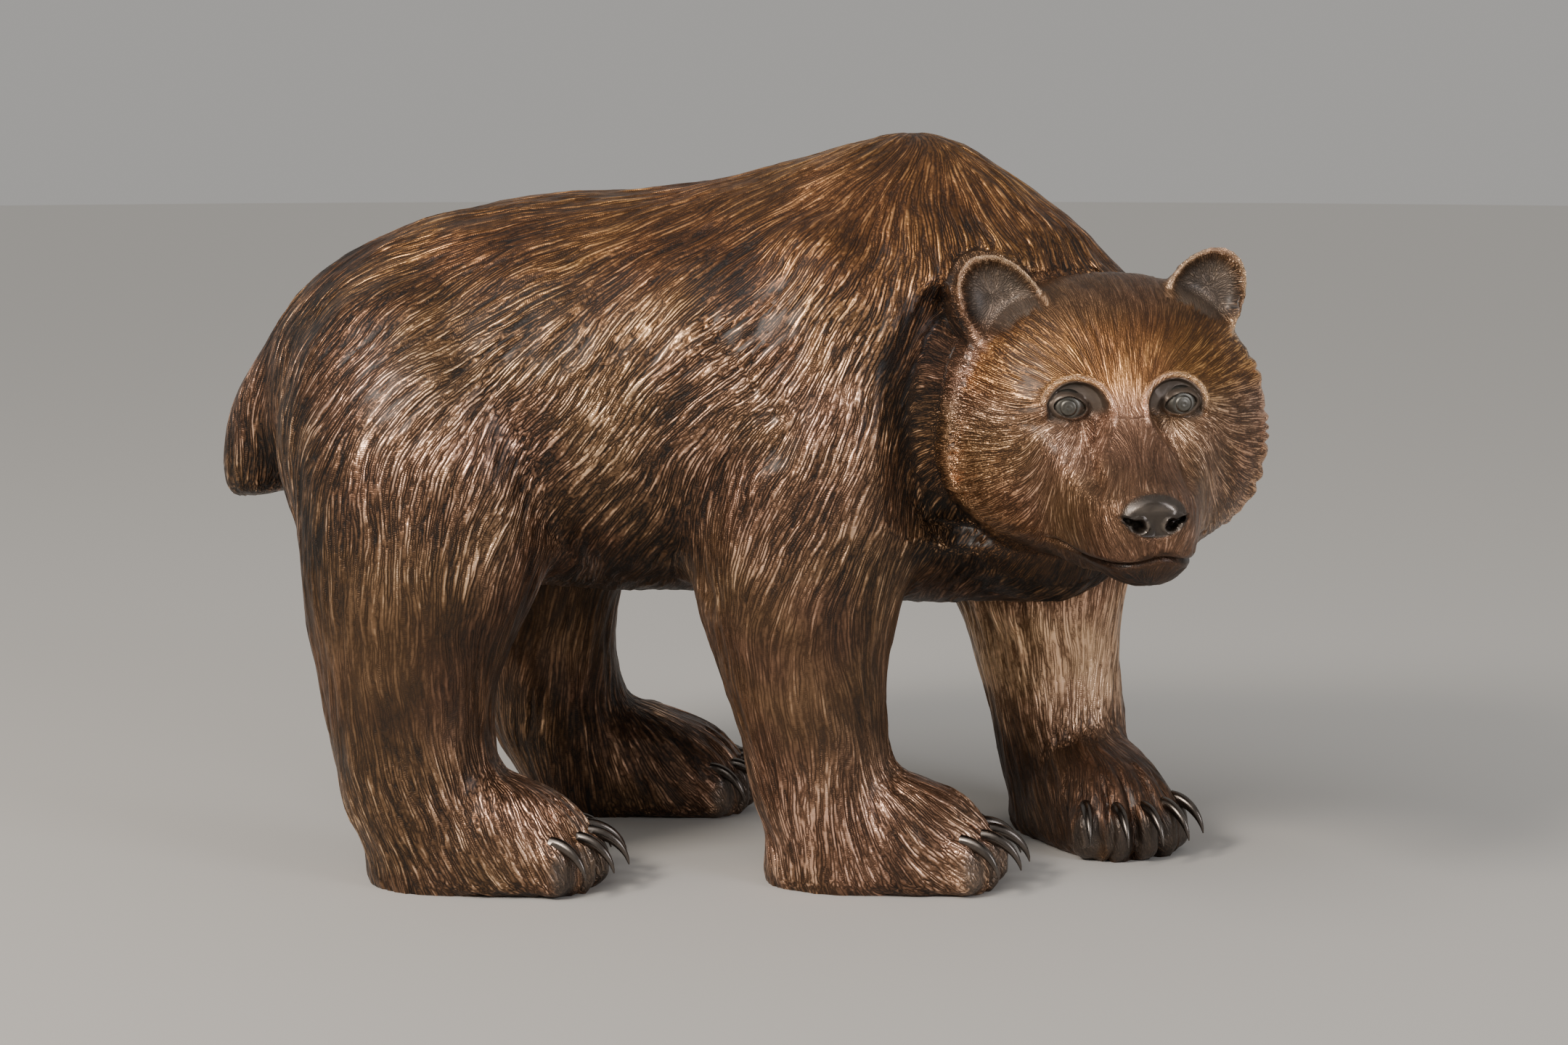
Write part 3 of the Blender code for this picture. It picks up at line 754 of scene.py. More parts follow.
class Regions:
    """Where each part of the figure is, as shares from 0 to 1 for a set of points."""

    def __init__(self, points, sizes, axes):
        self.points = points
        self.sizes = sizes
        self.axes = axes
        self.face = in_axes(axes, points)
        self.ears = [in_axes(ear, points) for ear in ear_frames(axes)]
        for side, ear in zip(SIDES, self.ears):
            ear[:, 2] -= side * EAR_SLOPE * ear[:, 1]
        ahead, aside, level = self.face.T
        stations, middle, half_width, above, below = np.array(HEAD).T
        rise = level - np.interp(ahead, stations, middle)
        tall = np.where(rise > 0, np.interp(ahead, stations, above), np.interp(ahead, stations, below))
        across = np.abs(aside) / np.interp(ahead, stations, half_width)
        self.share = (across**HEAD_SQUARE + np.abs(rise / tall) ** HEAD_SQUARE) ** (1 / HEAD_SQUARE)
        self.head = smooth_step(-0.030, -0.005, ahead) * smooth_step(1.40, 1.20, self.share)
        self.head[(ahead > 0.10) & (self.share < 2.5)] = 1
        for ear in self.ears:
            on_ear = smooth_step(1.22, 1.12, self.ear_reach(ear)) * (np.abs(ear[:, 0] + 0.010) < 0.018)
            self.head = np.maximum(self.head, on_ear)
        self.feet = [in_axes(foot_frame(*leg), points) for leg in LEGS.values()]

    def ear_reach(self, ear):
        """How far out from an ear's middle, as a share of its rim's radius."""
        longer = np.where(ear[:, 2] < 0, EAR_DROOP, 1.0)
        return np.hypot(ear[:, 1], ear[:, 2] / longer) / self.sizes.ear_radius

    def mouth_line(self):
        """How far a point of the muzzle lies above the line between the lips, and how deep that is cut."""
        ahead, aside, level = self.face.T
        height = MOUTH_HEIGHT + 0.0075 * smooth_step(0.100, 0.070, ahead)
        height += 0.0050 * bump(aside, 0.006, 0.015) * (ahead > 0.13)
        cut = smooth_step(0.048, 0.088, ahead) * (self.head > 0.5)
        return level - height, cut

    def eye(self, side):
        """A point's place across and up from an eye's middle, and how far in front of it."""
        middle = self.face - np.array((EYE_PLACE.x, side * EYE_PLACE.y, EYE_PLACE.z))
        return side * middle[:, 1], middle[:, 2], middle[:, 0]

    def hollow(self, side):
        """How far a point is from the middle of an eye's hollow, 1 at the crest of the brow."""
        out, up, depth = self.eye(side)
        across, above, below = HOLLOW_RADII
        reach = np.hypot((out - HOLLOW_ASIDE) / across, up / np.where(up > 0, above, below))
        return np.where((depth > -0.03) & (self.head > 0.5), reach, FAR)

    def nose_pad(self):
        """The leathery front of the nose."""
        ahead, aside, level = self.face.T
        across, tall = NOSE_PAD_RADII
        away = (aside / across) ** 2 + ((level - NOSE_PAD_HEIGHT) / tall) ** 2
        return smooth_step(1.25, 0.95, away) * (ahead > 0.142)

    def nostril(self, side):
        """How far a point is from the middle of a nostril, 1 at its edge."""
        ahead, aside, level = self.face.T
        out = side * aside - NOSTRIL_PLACE[0]
        up = level - NOSTRIL_PLACE[1]
        round_part = np.hypot(out / NOSTRIL_RADII[0], up / NOSTRIL_RADII[1])
        out = out - NOSTRIL_SLIT[0]
        up = up - NOSTRIL_SLIT[1] - 0.35 * out
        slit = np.hypot(out / NOSTRIL_SLIT_RADII[0], up / NOSTRIL_SLIT_RADII[1])
        return np.where(ahead > 0.138, np.minimum(round_part, slit), FAR)

    def lips(self):
        above, cut = self.mouth_line()
        return band(above, (-0.0062, -0.0046), (0.0056, 0.0036)) * cut

    def gap(self):
        """The line between the lips, painted dark as shade."""
        above, cut = self.mouth_line()
        return bump(above, -0.0002, 0.0016) * cut

    def opening(self, side):
        """How far a point is from the middle of the almond between an eye's lids, 1 at the lids' edge."""
        out, up, _ = self.eye(side)
        up = up - OPENING_SLANT * out
        across, above, below = OPENING_RADII
        wide = (np.abs(out) / across) ** OPENING_SQUARE
        tall = (np.abs(up) / np.where(up > 0, above, below)) ** OPENING_SQUARE
        share = (wide + tall) ** (1 / OPENING_SQUARE)
        return np.where(self.hollow(side) < 3.0, share, FAR)

    def sockets(self):
        """The bare metal round the eyes, under the brow, where the dark patina is deepened with painted
        shade.
        """
        total = 0.0
        for side in SIDES:
            out, up, _ = self.eye(side)
            above = smooth_step(-0.014, -0.004, up - 0.25 * np.clip(-out, 0, None))
            total += smooth_step(0.96, 0.80, self.hollow(side)) * above
        return total

    def brows(self):
        """The crest over each hollow and down its inner side, burnished and painted with a highlight."""
        total = 0.0
        for side in SIDES:
            out, up, _ = self.eye(side)
            along = smooth_step(-0.016, 0.000, up) * smooth_step(0.022, 0.010, out - 0.5 * up)
            total += bump(self.hollow(side), 1.02, 0.065) * along
        return np.clip(total, 0, 1)

    def below_eyes(self):
        """Where the coat under an eye is made paler."""
        total = 0.0
        for side in SIDES:
            out, up, depth = self.eye(side)
            away = ((out + 0.001) / 0.017) ** 2 + ((up + 0.021) / 0.012) ** 2
            total += np.exp(-away) * (depth > -0.03) * (self.head > 0.5)
        return total

    def lids(self):
        return sum(bump(self.opening(side), 1.15, 0.18) for side in SIDES)

    def cups(self):
        """The hollow fronts of the ears."""
        total = 0.0
        for ear in self.ears:
            inside = (ear[:, 0] > -0.016) * (ear[:, 0] < 0.012) * smooth_step(-0.030, -0.010, ear[:, 2])
            total += smooth_step(0.86, 0.70, self.ear_reach(ear)) * inside
        return np.clip(total, 0, 1)

    # The ear rims, which are painted with a highlight
    def ear_rims(self):
        total = 0.0
        for ear in self.ears:
            front = (ear[:, 0] > -0.008) * (ear[:, 0] < 0.012)
            total += bump(self.ear_reach(ear), 0.98, 0.075) * front
        return np.clip(total, 0, 1)

    def behind_ruff(self):
        """The hollow of the neck just outside the ruff, from the ear to the jaw."""
        ahead, _, level = self.face.T
        around = band(self.share, (1.045, 1.10), (1.55, 1.25))
        around *= band(level, (-0.105, -0.080), (0.110, 0.085))
        for ear in self.ears:
            around *= smooth_step(1.15, 1.35, self.ear_reach(ear))
        return around * (np.abs(ahead) < 0.05)

    def ruff(self):
        """The loose edge of the coat of the cheeks, which stands over the neck; its edge is also painted
        with a highlight.
        """
        ahead, aside, level = self.face.T
        beside = band(level, (-0.090, -0.070), (0.060, 0.030))
        beside *= (self.share > 0.6) * smooth_step(1.12, 1.06, self.share)
        return bump(ahead, 0.014 + 0.04 * aside, 0.010) * beside

    def throat(self):
        """The shaggy coat under the neck and before the forelegs."""
        x, _, z = self.points.T
        return smooth_step(0.12, 0.19, x) * band(z, (0.16, 0.24), (0.46, 0.33))

    def toes(self):
        """The bare tips of the toes, where the claws leave them."""
        total = 0.0
        for local in self.feet:
            for place, heading in toe_places(self.sizes):
                away = local - np.array(place)
                forward = away[:, 0] * cos(heading) + away[:, 1] * sin(heading)
                aside = away[:, 1] * cos(heading) - away[:, 0] * sin(heading)
                reach = (forward - 0.017) ** 2 / 0.0145**2 + aside**2 / 0.0110**2
                reach += (away[:, 2] + 0.004) ** 2 / 0.019**2
                total = np.maximum(total, smooth_step(1.40, 0.60, reach))
        return total


def soft_min(first, second, blend):
    """The smaller of the two, with a fillet of about blend where they cross."""
    return np.minimum(first, second) - blend * np.log1p(np.exp(-np.abs(first - second) / blend))


def model_mouth_and_nose(regions):
    """How far each point of lips and nose is pushed out along its normal, and how far inwards for the
    nostrils."""
    ahead, aside, level = regions.face.T
    facing = regions.head * (ahead > 0.06)
    above, cut = regions.mouth_line()
    push = -0.0030 * facing * cut * bump(above, 0.0, 0.0014)
    push += 0.0008 * facing * cut * bump(above, 0.0042, 0.0030)
    push += 0.0006 * facing * cut * bump(above, -0.0040, 0.0024)

    tip = facing * (ahead > 0.138)
    flat = soft_min(ahead, 0.1652 - 0.20 * np.clip(-0.050 - level, 0, None), 0.0007)
    push += 0.0012 * regions.nose_pad() * facing
    push -= 0.0012 * tip * bump(aside, 0.0, 0.0016) * smooth_step(-0.052, -0.060, level) * (above > 0.001)
    inward = (ahead - flat) * regions.nose_pad() * (level < -0.044)
    for side in SIDES:
        hole = regions.nostril(side)
        inward += 0.0080 * tip * smooth_step(1.0, 0.55, hole)
        push += 0.0018 * tip * bump(hole, 1.38, 0.24)
        push += 0.0016 * tip * bump(np.hypot(side * aside - 0.0076, level + 0.0580), 0.0, 0.0024)
    return push, inward


def model_eyes(regions, push):
    """Where each point of the face lies ahead, once the hollows are sunk and the lids laid over the
    eyeballs."""
    sizes = regions.sizes
    target = regions.face[:, 0].copy()
    lid_radius = sizes.eye_radius + LID_THICKNESS
    for side in SIDES:
        out, up, _ = regions.eye(side)
        reach = regions.hollow(side)
        walled = np.maximum(smooth_step(-0.012, 0.002, up), smooth_step(-0.008, -0.016, out))
        floor = EYE_PLACE.x + 0.0100 - 0.10 * out - 0.22 * np.clip(up - 0.004, 0, None)
        floor += 1.05 * np.clip(-0.006 - up, 0, None) + 0.026 * walled * smooth_step(0.74, 1.10, reach)
        sunk = soft_min(target, floor, 0.0010 + 0.0035 * smooth_step(0.002, -0.014, up))
        target += (sunk - target) * smooth_step(1.9, 1.5, reach)
        trough = out + 0.0185 - 0.20 * np.clip(-up, 0, None)
        trough = bump(trough, 0.0, 0.0040) * band(up, (-0.050, -0.020), (0.004, -0.010))
        push -= 0.0026 * trough * (reach < 3.0)

        share = regions.opening(side)
        round_off = out**2 + up**2
        ball = np.sqrt(np.clip(sizes.eye_radius**2 - round_off, 0, None))
        behind = EYE_PLACE.x + ball - 0.0014
        lid = EYE_PLACE.x + np.sqrt(np.clip(lid_radius**2 - round_off, 0, None))
        lid = np.maximum(lid, EYE_PLACE.x + 0.0096)
        lid += 0.0007 * bump(share, 1.10, 0.10) - 0.0006 * bump(share, 1.34, 0.07)
        shape = behind + (lid - behind) * smooth_step(0.94, 1.04, share)
        blend = smooth_step(1.60, 1.25, share)
        target += (shape - target) * blend
    push += 0.0020 * regions.brows()
    return target


def near_path(x, z, path, reach):
    """1 on the line through the path's points, falling away to either side over about reach."""
    nearest = np.full(len(x), np.inf)
    for (x0, z0), (x1, z1) in zip(path, path[1:]):
        step_x, step_z = x1 - x0, z1 - z0
        share = ((x - x0) * step_x + (z - z0) * step_z) / (step_x**2 + step_z**2)
        share = np.clip(share, 0, 1)
        nearest = np.minimum(nearest, np.hypot(x - x0 - share * step_x, z - z0 - share * step_z))
    return bump(nearest, 0.0, reach)


def model_ruff(regions, push):
    """Lifts the ragged edge of the ruff and cuts under it."""
    ahead, aside, level = regions.face.T
    beside = band(level, (-0.100, -0.080), (0.060, 0.030)) * (regions.share > 0.6) * (regions.share < 1.35)
    angle = np.arctan2(aside, -level)
    teeth = np.abs(np.sin(26 * angle + 1.7 * np.sin(9 * angle) + 1.1 * np.sin(17 * angle)))
    push += (0.0012 + 0.0034 * teeth) * regions.ruff()
    push -= (0.0058 + 0.0016 * (1 - teeth)) * beside * bump(ahead, -0.010 + 0.04 * aside, 0.010)


def model_clefts(regions, push):
    """Cuts between the toes, spreading a little towards their tips."""
    length, half_width = regions.sizes.foot_length, regions.sizes.foot_half_width
    for along, aside, up in (local.T for local in regions.feet):
        front = smooth_step(0.74 * length, 0.86 * length, along) * (up < 0.07) * (along < 1.2 * length)
        for first, second in zip(TOE_ROW, TOE_ROW[1:]):
            cleft = (first + second) / 2 * half_width * (1 + 1.2 * (along / length - 0.9))
            push -= 0.0042 * front * bump(aside, cleft, 0.0026) * (np.abs(aside) < 1.3 * half_width)


def model_features(mesh, sizes, axes):
    """Eyes in their hollows, nostrils, lips, the loose edge of the ruff, the valleys between the muscles
    and the clefts between the toes."""
    points = points_of(mesh)
    normals = normals_of(mesh)
    regions = Regions(points, sizes, axes)
    push, inward = model_mouth_and_nose(regions)
    target = model_eyes(regions, push)
    model_ruff(regions, push)

    x, _, z = points.T
    flank = smooth_step(0.35, 0.65, np.abs(normals[:, 1])) * (1 - regions.head)
    for path, reach, depth in VALLEYS:
        push -= depth * flank * near_path(x, z, path, reach)
    model_clefts(regions, push)

    local = regions.face.copy()
    local[:, 0] = target - inward - 0.018 * regions.behind_ruff()
    world = turned_by(axes, local) + np.array(axes.translation)
    set_points(mesh, world + normals * push[:, None])


def turned_to(flow, other, share):
    """The direction at each point turned by its share towards the other."""
    share = share[:, None]
    return flow * (1 - share) + other * share


def directions(*parts):
    """Rows of x, y and z, each an array or the same number all over."""
    return np.stack(np.broadcast_arrays(*parts), axis=1)


def lie_on_body(points, regions):
    """Out from the hump's peak and down over the body, straight down the legs, forward over the feet."""
    x, _, z = points.T
    pull = 0.30 + 0.30 * smooth_step(0.10, -0.30, x) + 0.60 * smooth_step(0.50, 0.22, z)
    slant = band(x, (-0.36, -0.26), (0.23, 0.16)) * (0.30 + 0.50 * smooth_step(0.24, 0.40, z))
    flow = turned_to(unit(points - HUMP_PEAK), unit(directions(-slant, 0.0, -1.0)), np.clip(pull, 0, 1))
    flow = turned_to(flow, BIB_LIE, smooth_step(0.15, 0.21, x) * smooth_step(0.37, 0.29, z))
    flow = turned_to(flow, DOWN, smooth_step(0.27, 0.16, z))
    for local, leg in zip(regions.feet, LEGS.values()):
        along, aside, up = local.T
        near = (along > -0.05) & (along < 0.23) & (np.abs(aside) < 0.10) & (up < 0.15)
        forward = smooth_step(0.135, 0.050, up) * (0.20 + 0.55 * smooth_step(0.03, 0.15, along)) * near
        outward = forward * 0.3 * aside / regions.sizes.foot_half_width
        flow = flow + turned_by(foot_frame(*leg), directions(forward, outward, 0.0))
    return unit(flow)


def lie_on_head(regions):
    """Out from between the brows to ruff and nose, and round the eyes on the cheeks."""
    fan = regions.face - BROW_MIDDLE
    fan[:, 1] *= 0.40 + 0.60 * smooth_step(0.005, 0.045, np.abs(fan[:, 1]))
    fan = unit(fan)
    for side in SIDES:
        out, up, _ = regions.eye(side)
        under = smooth_step(0.050, 0.020, np.hypot(out, up + 0.012)) * smooth_step(0.012, -0.004, up)
        round_eye = directions(0.0, side * (out + 0.004), up - 0.004)
        fan = turned_to(fan, unit(round_eye), 0.8 * under)
    return turned_by(regions.axes, unit(fan))


def lie_of_hair(points, normals, regions):
    """Which way the coat lies at each point, along the surface and with a little waywardness."""
    flow = turned_to(lie_on_body(points, regions), lie_on_head(regions), regions.head)
    for local, ear in zip(regions.ears, ear_frames(regions.axes)):
        near = smooth_step(1.25, 1.05, regions.ear_reach(local)) * (np.abs(local[:, 0] + 0.010) < 0.022)
        rays = directions(-0.2, local[:, 1], local[:, 2])
        flow = turned_to(flow, turned_by(ear, unit(rays)), near)
    flow = unit(flow - normals * (flow * normals).sum(axis=1)[:, None])
    turn = (0.20 * swell(points, 0.12, 3) + 0.09 * swell(points, 0.045, 4)) * (1 - 0.5 * regions.head)
    return unit(flow * np.cos(turn)[:, None] + np.cross(normals, flow) * np.sin(turn)[:, None])


def lattice_noise(points, spacing, table):
    """Smooth random values from the table's knots, one every spacing, the table repeated in space."""
    tilt = np.array(Euler((0.6, 0.4, 0.9)).to_matrix())
    grid = points @ tilt / spacing
    low = np.floor(grid)
    share = (grid - low).astype(np.float32)
    share = share * share * (3 - 2 * share)
    size = len(table)
    near = low.astype(np.int64) % size
    far = (near + 1) % size
    total = np.zeros(len(points), np.float32)
    for x, weight_x in ((near[:, 0], 1 - share[:, 0]), (far[:, 0], share[:, 0])):
        for y, weight_y in ((near[:, 1], 1 - share[:, 1]), (far[:, 1], share[:, 1])):
            low_knot, high_knot = table[x, y, near[:, 2]], table[x, y, far[:, 2]]
            total += weight_x * weight_y * (low_knot + (high_knot - low_knot) * share[:, 2])
    return total


def comb(points, flow, bend, width, length, seed):
    """Random values drawn out along the hair: they change over width across it and over length along
    it. Their spread is 1."""
    table = np.random.default_rng(seed).uniform(-1, 1, (NOISE_KNOTS,) * 3).astype(np.float32)
    total = np.zeros(len(points), np.float32)
    for step in np.linspace(-0.5, 0.5, LOCK_TAPS):
        reach = step * length
        spots = points + flow * reach + bend * (reach**2 / 2)
        total += cos(pi * step * 0.9) * lattice_noise(spots, width, table)
    return total / total.std()


def locks(combed):
    """Height on the coat, from 0 in a scooped groove to 1 on the narrow crest of a lock."""
    return np.clip((combed + 1.5) / 3.4, 0, 1) ** 1.2


def curve_of_hair(points, normals, flow, sizes, axes):
    """How fast the hair's direction turns along it, per metre."""
    reach = 0.006  # how far the direction is looked at to either side
    ahead = points + flow * reach
    behind = points - flow * reach
    turned = lie_of_hair(ahead, normals, Regions(ahead, sizes, axes))
    turned -= lie_of_hair(behind, normals, Regions(behind, sizes, axes))
    bend = turned / (2 * reach)
    return bend / np.maximum(length_of(bend)[:, None] / SHARPEST_BEND, 1)


def chase_coat(mesh, sizes, coat, axes):
    """Raises every lock of the coat. Returns each point's place, its normal before the chasing, its
    height on its lock and how the locks differ in tone."""
    points = points_of(mesh)
    normals = normals_of(mesh)
    regions = Regions(points, sizes, axes)
    flow = lie_of_hair(points, normals, regions)
    bend = curve_of_hair(points, normals, flow, sizes, axes)
    combed = np.zeros(len(points))
    depth = np.zeros(len(points))
    on_head = regions.head > 0.5
    kinds = ((~on_head, 1.0, coat.body_depth), (on_head, coat.head_share, coat.head_depth))
    for here, share, deep in kinds:
        width, length = coat.body_width * share, coat.body_length * share
        combed[here] = comb(points[here], flow[here], bend[here], width, length, coat.seed)
        depth[here] = deep
    relief = locks(combed)
    bare = np.clip(regions.nose_pad() + regions.lips() + 0.85 * regions.sockets() + regions.toes(), 0, 1)
    depth *= (1 - bare) * (1 - 0.7 * regions.cups())
    depth *= np.clip(1 + 0.20 * swell(points, 0.05, 11), 0.5, None)
    depth *= 1 + 0.8 * regions.throat() * (1 - regions.head)
    worn = 0.0008 * swell(points, 0.07, 12) * (1 - regions.head)
    points = points + normals * (depth * (relief - 0.4) + worn)[:, None]
    set_points(mesh, points)
    return points, normals, relief, combed


def thinned(mesh, triangles):
    """The mesh brought down to about that many triangles, most of them left where it curves most."""
    figure = new_object("figure", mesh)
    mesh.calc_loop_triangles()
    thin = figure.modifiers.new("thin", "DECIMATE")
    thin.ratio = triangles / len(mesh.loop_triangles)
    return baked(figure)


def add_eyeball(bm, sizes, place):
    """A ball that looks along +X, with the rim of its iris and its pupil engraved."""
    rings = []
    for step in range(1, EYE_STEPS):
        angle = pi * (step / EYE_STEPS) ** 1.25
        reach = sizes.eye_radius * sin(angle)
        radius = sizes.eye_radius
        if angle < pi / 2:
            radius -= sum(depth * bump(reach, line, width) for line, depth, width in EYE_LINES)
        ring = []
        for i in range(EYE_SIDES):
            turn = 2 * pi * i / EYE_SIDES
            point = Vector((cos(angle), sin(angle) * cos(turn), sin(angle) * sin(turn))) * radius
            ring.append(place @ point)
        rings.append(ring)
    add_loft(bm, rings)


def let_in(obj, name, bm, material):
    """Joins the shapes in bm to the object as one skin. Returns their own object, a helper."""
    other = new_object(name, new_mesh(name, bm))
    other.data.materials.append(material)
    union = obj.modifiers.new(name, "BOOLEAN")
    union.operation = "UNION"
    union.solver = "MANIFOLD"
    union.material_mode = "TRANSFER"
    union.object = other
    return other


def srgb(hex_colour):
    """A colour's red, green, blue and alpha in linear light, from its sRGB hex value."""
    channels = [int(hex_colour[i : i + 2], 16) / 255 for i in (1, 3, 5)]
    linear = [c / 12.92 if c <= 0.04045 else ((c + 0.055) / 1.055) ** 2.4 for c in channels]
    return (*linear, 1.0)


def patina(name, description, hex_colour):
    """A colour that the user can change."""
    return FloatVectorProperty(
        name=name, description=description, subtype="COLOR", size=4, default=srgb(hex_colour)
    )


class BronzeFinish(bpy.types.PropertyGroup):
    """Colours of the patina."""

    groove: patina("Groove", "Dark patina left in the grooves", "#1b130d")
    coat: patina("Coat", "Brown patina of the coat", "#523e2d")
    copper: patina("Copper", "Coat rubbed thin near the crests", "#876d58")
    crest: patina("Crest", "Bronze rubbed bare on the crests", "#fbdcc2")
    gold: patina("Gold", "Cast of the yellower patches", "#fff3dc")
    rose: patina("Rose", "Cast of the redder patches", "#ffeae2")
    amber: patina("Amber", "Cast of the back and the brow", "#f5deb0")
    umber: patina("Umber", "Cool dark patina in ears, sockets and nose", "#342c26")
    # Where the umber's level is high on the nose, the ash also carries painted highlights: the top band and
    # the nostril rims
    ash: patina("Ash", "The same, rubbed on lids and rims", "#9a9085")


class StudioSettings(bpy.types.PropertyGroup):
    """Camera and lights."""

    lens: FloatProperty(name="Lens", description="Focal length in mm", default=70.2)
    key_power: FloatProperty(
        name="Key light", description="Of the large light, in watts", default=84.0, unit="POWER"
    )
    fill_power: FloatProperty(
        name="Fill light", description="Of the light from the right, in watts", default=26.0, unit="POWER"
    )
    even_light: FloatProperty(
        name="Even light", description="Of the far, soft light, in watts per square metre", default=1.2
    )


def add_node(tree, kind, inputs=None, **settings):
    """A node of that kind with its settings; each input takes a value or another node's output."""
    node = tree.nodes.new(kind)
    for name, value in settings.items():
        setattr(node, name, value)
    for name, value in (inputs or {}).items():
        if isinstance(value, bpy.types.NodeSocket):
            tree.links.new(value, node.inputs[name])
        else:
            node.inputs[name].default_value = value
    return node


def summed(tree, start, *terms):
    """A start value with others added to it, each times its share."""
    for value, share in terms:
        start = add_node(
            tree, "ShaderNodeMath", {0: value, 1: share, 2: start}, operation="MULTIPLY_ADD"
        ).outputs[0]
    return start


def combed_lines(tree, coat):
    """Strands of hair with a narrow groove on each side: noise summed along the hair's path, and folded
    where it crosses its mean. Gives 0 in a groove and up to 1 on a crest. The finest tooling of a real
    cast is closer than this, and wouldn't show."""
    place, flow, bend = (
        add_node(tree, "ShaderNodeAttribute", attribute_name=name).outputs["Vector"]
        for name in ("place", "flow", "bend")
    )
    taps = []
    for step in np.linspace(-0.5, 0.5, LINE_TAPS):
        reach = float(step) * coat.line_length
        spot = place
        for way, share in ((flow, reach), (bend, reach**2 / 2)):
            spot = add_node(
                tree, "ShaderNodeVectorMath", {0: way, 1: (share,) * 3, 2: spot}, operation="MULTIPLY_ADD"
            ).outputs["Vector"]
        noise = add_node(
            tree, "ShaderNodeTexNoise", {"Vector": spot, "Scale": 1 / coat.line_width, "Detail": 0.0}
        )
        taps.append(noise.outputs["Fac"])
    height = summed(tree, -0.5 * LINE_TAPS, *((tap, 1.0) for tap in taps))
    height = add_node(tree, "ShaderNodeMath", {0: height}, operation="ABSOLUTE").outputs[0]
    height = add_node(
        tree, "ShaderNodeMath", {0: height, 1: LINE_GAIN}, operation="MULTIPLY", use_clamp=True
    ).outputs[0]
    return add_node(tree, "ShaderNodeMath", {0: height, 1: LINE_SHAPE}, operation="POWER").outputs[0]


def patina_colour(tree, finish, place, level, amber, umber):
    """From dark groove to bare crest as the level rises, with a gold or a rose cast in patches and a
    yellow one where it is amber, and cooler and greyer where it is umber."""
    ramp = add_node(tree, "ShaderNodeValToRGB", {"Fac": level})
    stops = ramp.color_ramp.elements
    stops[0].position, stops[0].color = 0.08, finish.groove
    stops[1].position, stops[1].color = 1.0, finish.crest
    stops.new(0.40).color = finish.coat
    stops.new(0.68).color = finish.copper

    patches = add_node(
        tree, "ShaderNodeTexNoise", {"Vector": place, "Scale": PATCHES, "Detail": 2.0}
    ).outputs["Fac"]
    cast = add_node(
        tree, "ShaderNodeMapRange", {"Value": patches, "From Min": 0.38, "From Max": 0.62}
    ).outputs["Result"]
    tint = add_node(
        tree, "ShaderNodeMix", {"Factor": cast, MIX_LOW: finish.gold, MIX_HIGH: finish.rose},
        data_type="RGBA",
    ).outputs[MIX_COLOUR]
    bare = add_node(
        tree, "ShaderNodeMix", {"Factor": level, MIX_LOW: finish.umber, MIX_HIGH: finish.ash},
        data_type="RGBA",
    ).outputs[MIX_COLOUR]

    colour = ramp.outputs["Color"]
    layers = (1.0, tint, "MULTIPLY"), (amber, finish.amber, "MULTIPLY"), (umber, bare, "MIX")
    for share, layer, blend in layers:
        colour = add_node(
            tree, "ShaderNodeMix", {"Factor": share, MIX_LOW: colour, MIX_HIGH: layer},
            data_type="RGBA", blend_type=blend,
        ).outputs[MIX_COLOUR]
    return colour


def chased_bronze(finish, coat):
    """Cast bronze, chased lock by lock, patinated brown with heat and rubbed back on the crests: dark
    grooves, copper to pale pink crests and a waxed, half-matt sheen."""
    material = bpy.data.materials.new("chased_bronze_brown_patina")
    material.use_nodes = True
    tree = material.node_tree
    tree.nodes.clear()
    relief, tone, smooth, amber, rub_and_painted_light, bold, umber = (
        add_node(tree, "ShaderNodeAttribute", attribute_name=name).outputs["Fac"]
        for name in ("relief", "tone", "smooth", "amber", "rub_and_painted_light", "bold", "umber")
    )
    place = add_node(tree, "ShaderNodeTexCoord").outputs["Object"]
    lines = combed_lines(tree, coat)
    blotches = add_node(
        tree, "ShaderNodeTexNoise",
        {"Vector": place, "Scale": BLOTCHES, "Detail": 5.0, "Roughness": 0.62},
    ).outputs["Fac"]
    grain = add_node(
        tree, "ShaderNodeTexNoise", {"Vector": place, "Scale": GRAIN, "Detail": 2.0}
    ).outputs["Fac"]

    detail = summed(tree, -0.48, (lines, 0.98), (relief, 0.30))
    # The rub lifts or lowers the level: partly wear and tone, partly painted highlights and painted shade
    level = summed(tree, 0.23, (blotches, 0.40), (detail, bold), (tone, 0.10), (rub_and_painted_light, 0.15))
    level = add_node(tree, "ShaderNodeClamp", {"Value": level}).outputs["Result"]
    rough, metal = (
        add_node(tree, "ShaderNodeMapRange", {"Value": level, "To Min": low, "To Max": high}).outputs[0]
        for low, high in ((0.58, 0.30), (0.55, 0.95))
    )
    strands = add_node(tree, "ShaderNodeMath", {0: lines, 1: bold}, operation="MULTIPLY").outputs[0]
    ridges = add_node(
        tree, "ShaderNodeBump", {"Strength": 1.0, "Distance": 0.0016, "Height": strands}
    ).outputs["Normal"]
    skin = add_node(
        tree, "ShaderNodeBump",
        {"Strength": 0.35, "Distance": 0.0002, "Height": grain, "Normal": ridges},
    ).outputs["Normal"]
    shader = add_node(
        tree, "ShaderNodeBsdfPrincipled",
        {
            "Base Color": patina_colour(tree, finish, place, level, amber, umber),
            "Metallic": metal,
            "Roughness": summed(tree, rough, (smooth, -0.28)),
            "Normal": skin,
            "Coat Weight": 0.22,
            "Coat Roughness": 0.30,
        },
    )
    add_node(tree, "ShaderNodeOutputMaterial", {"Surface": shader.outputs["BSDF"]})
    return material


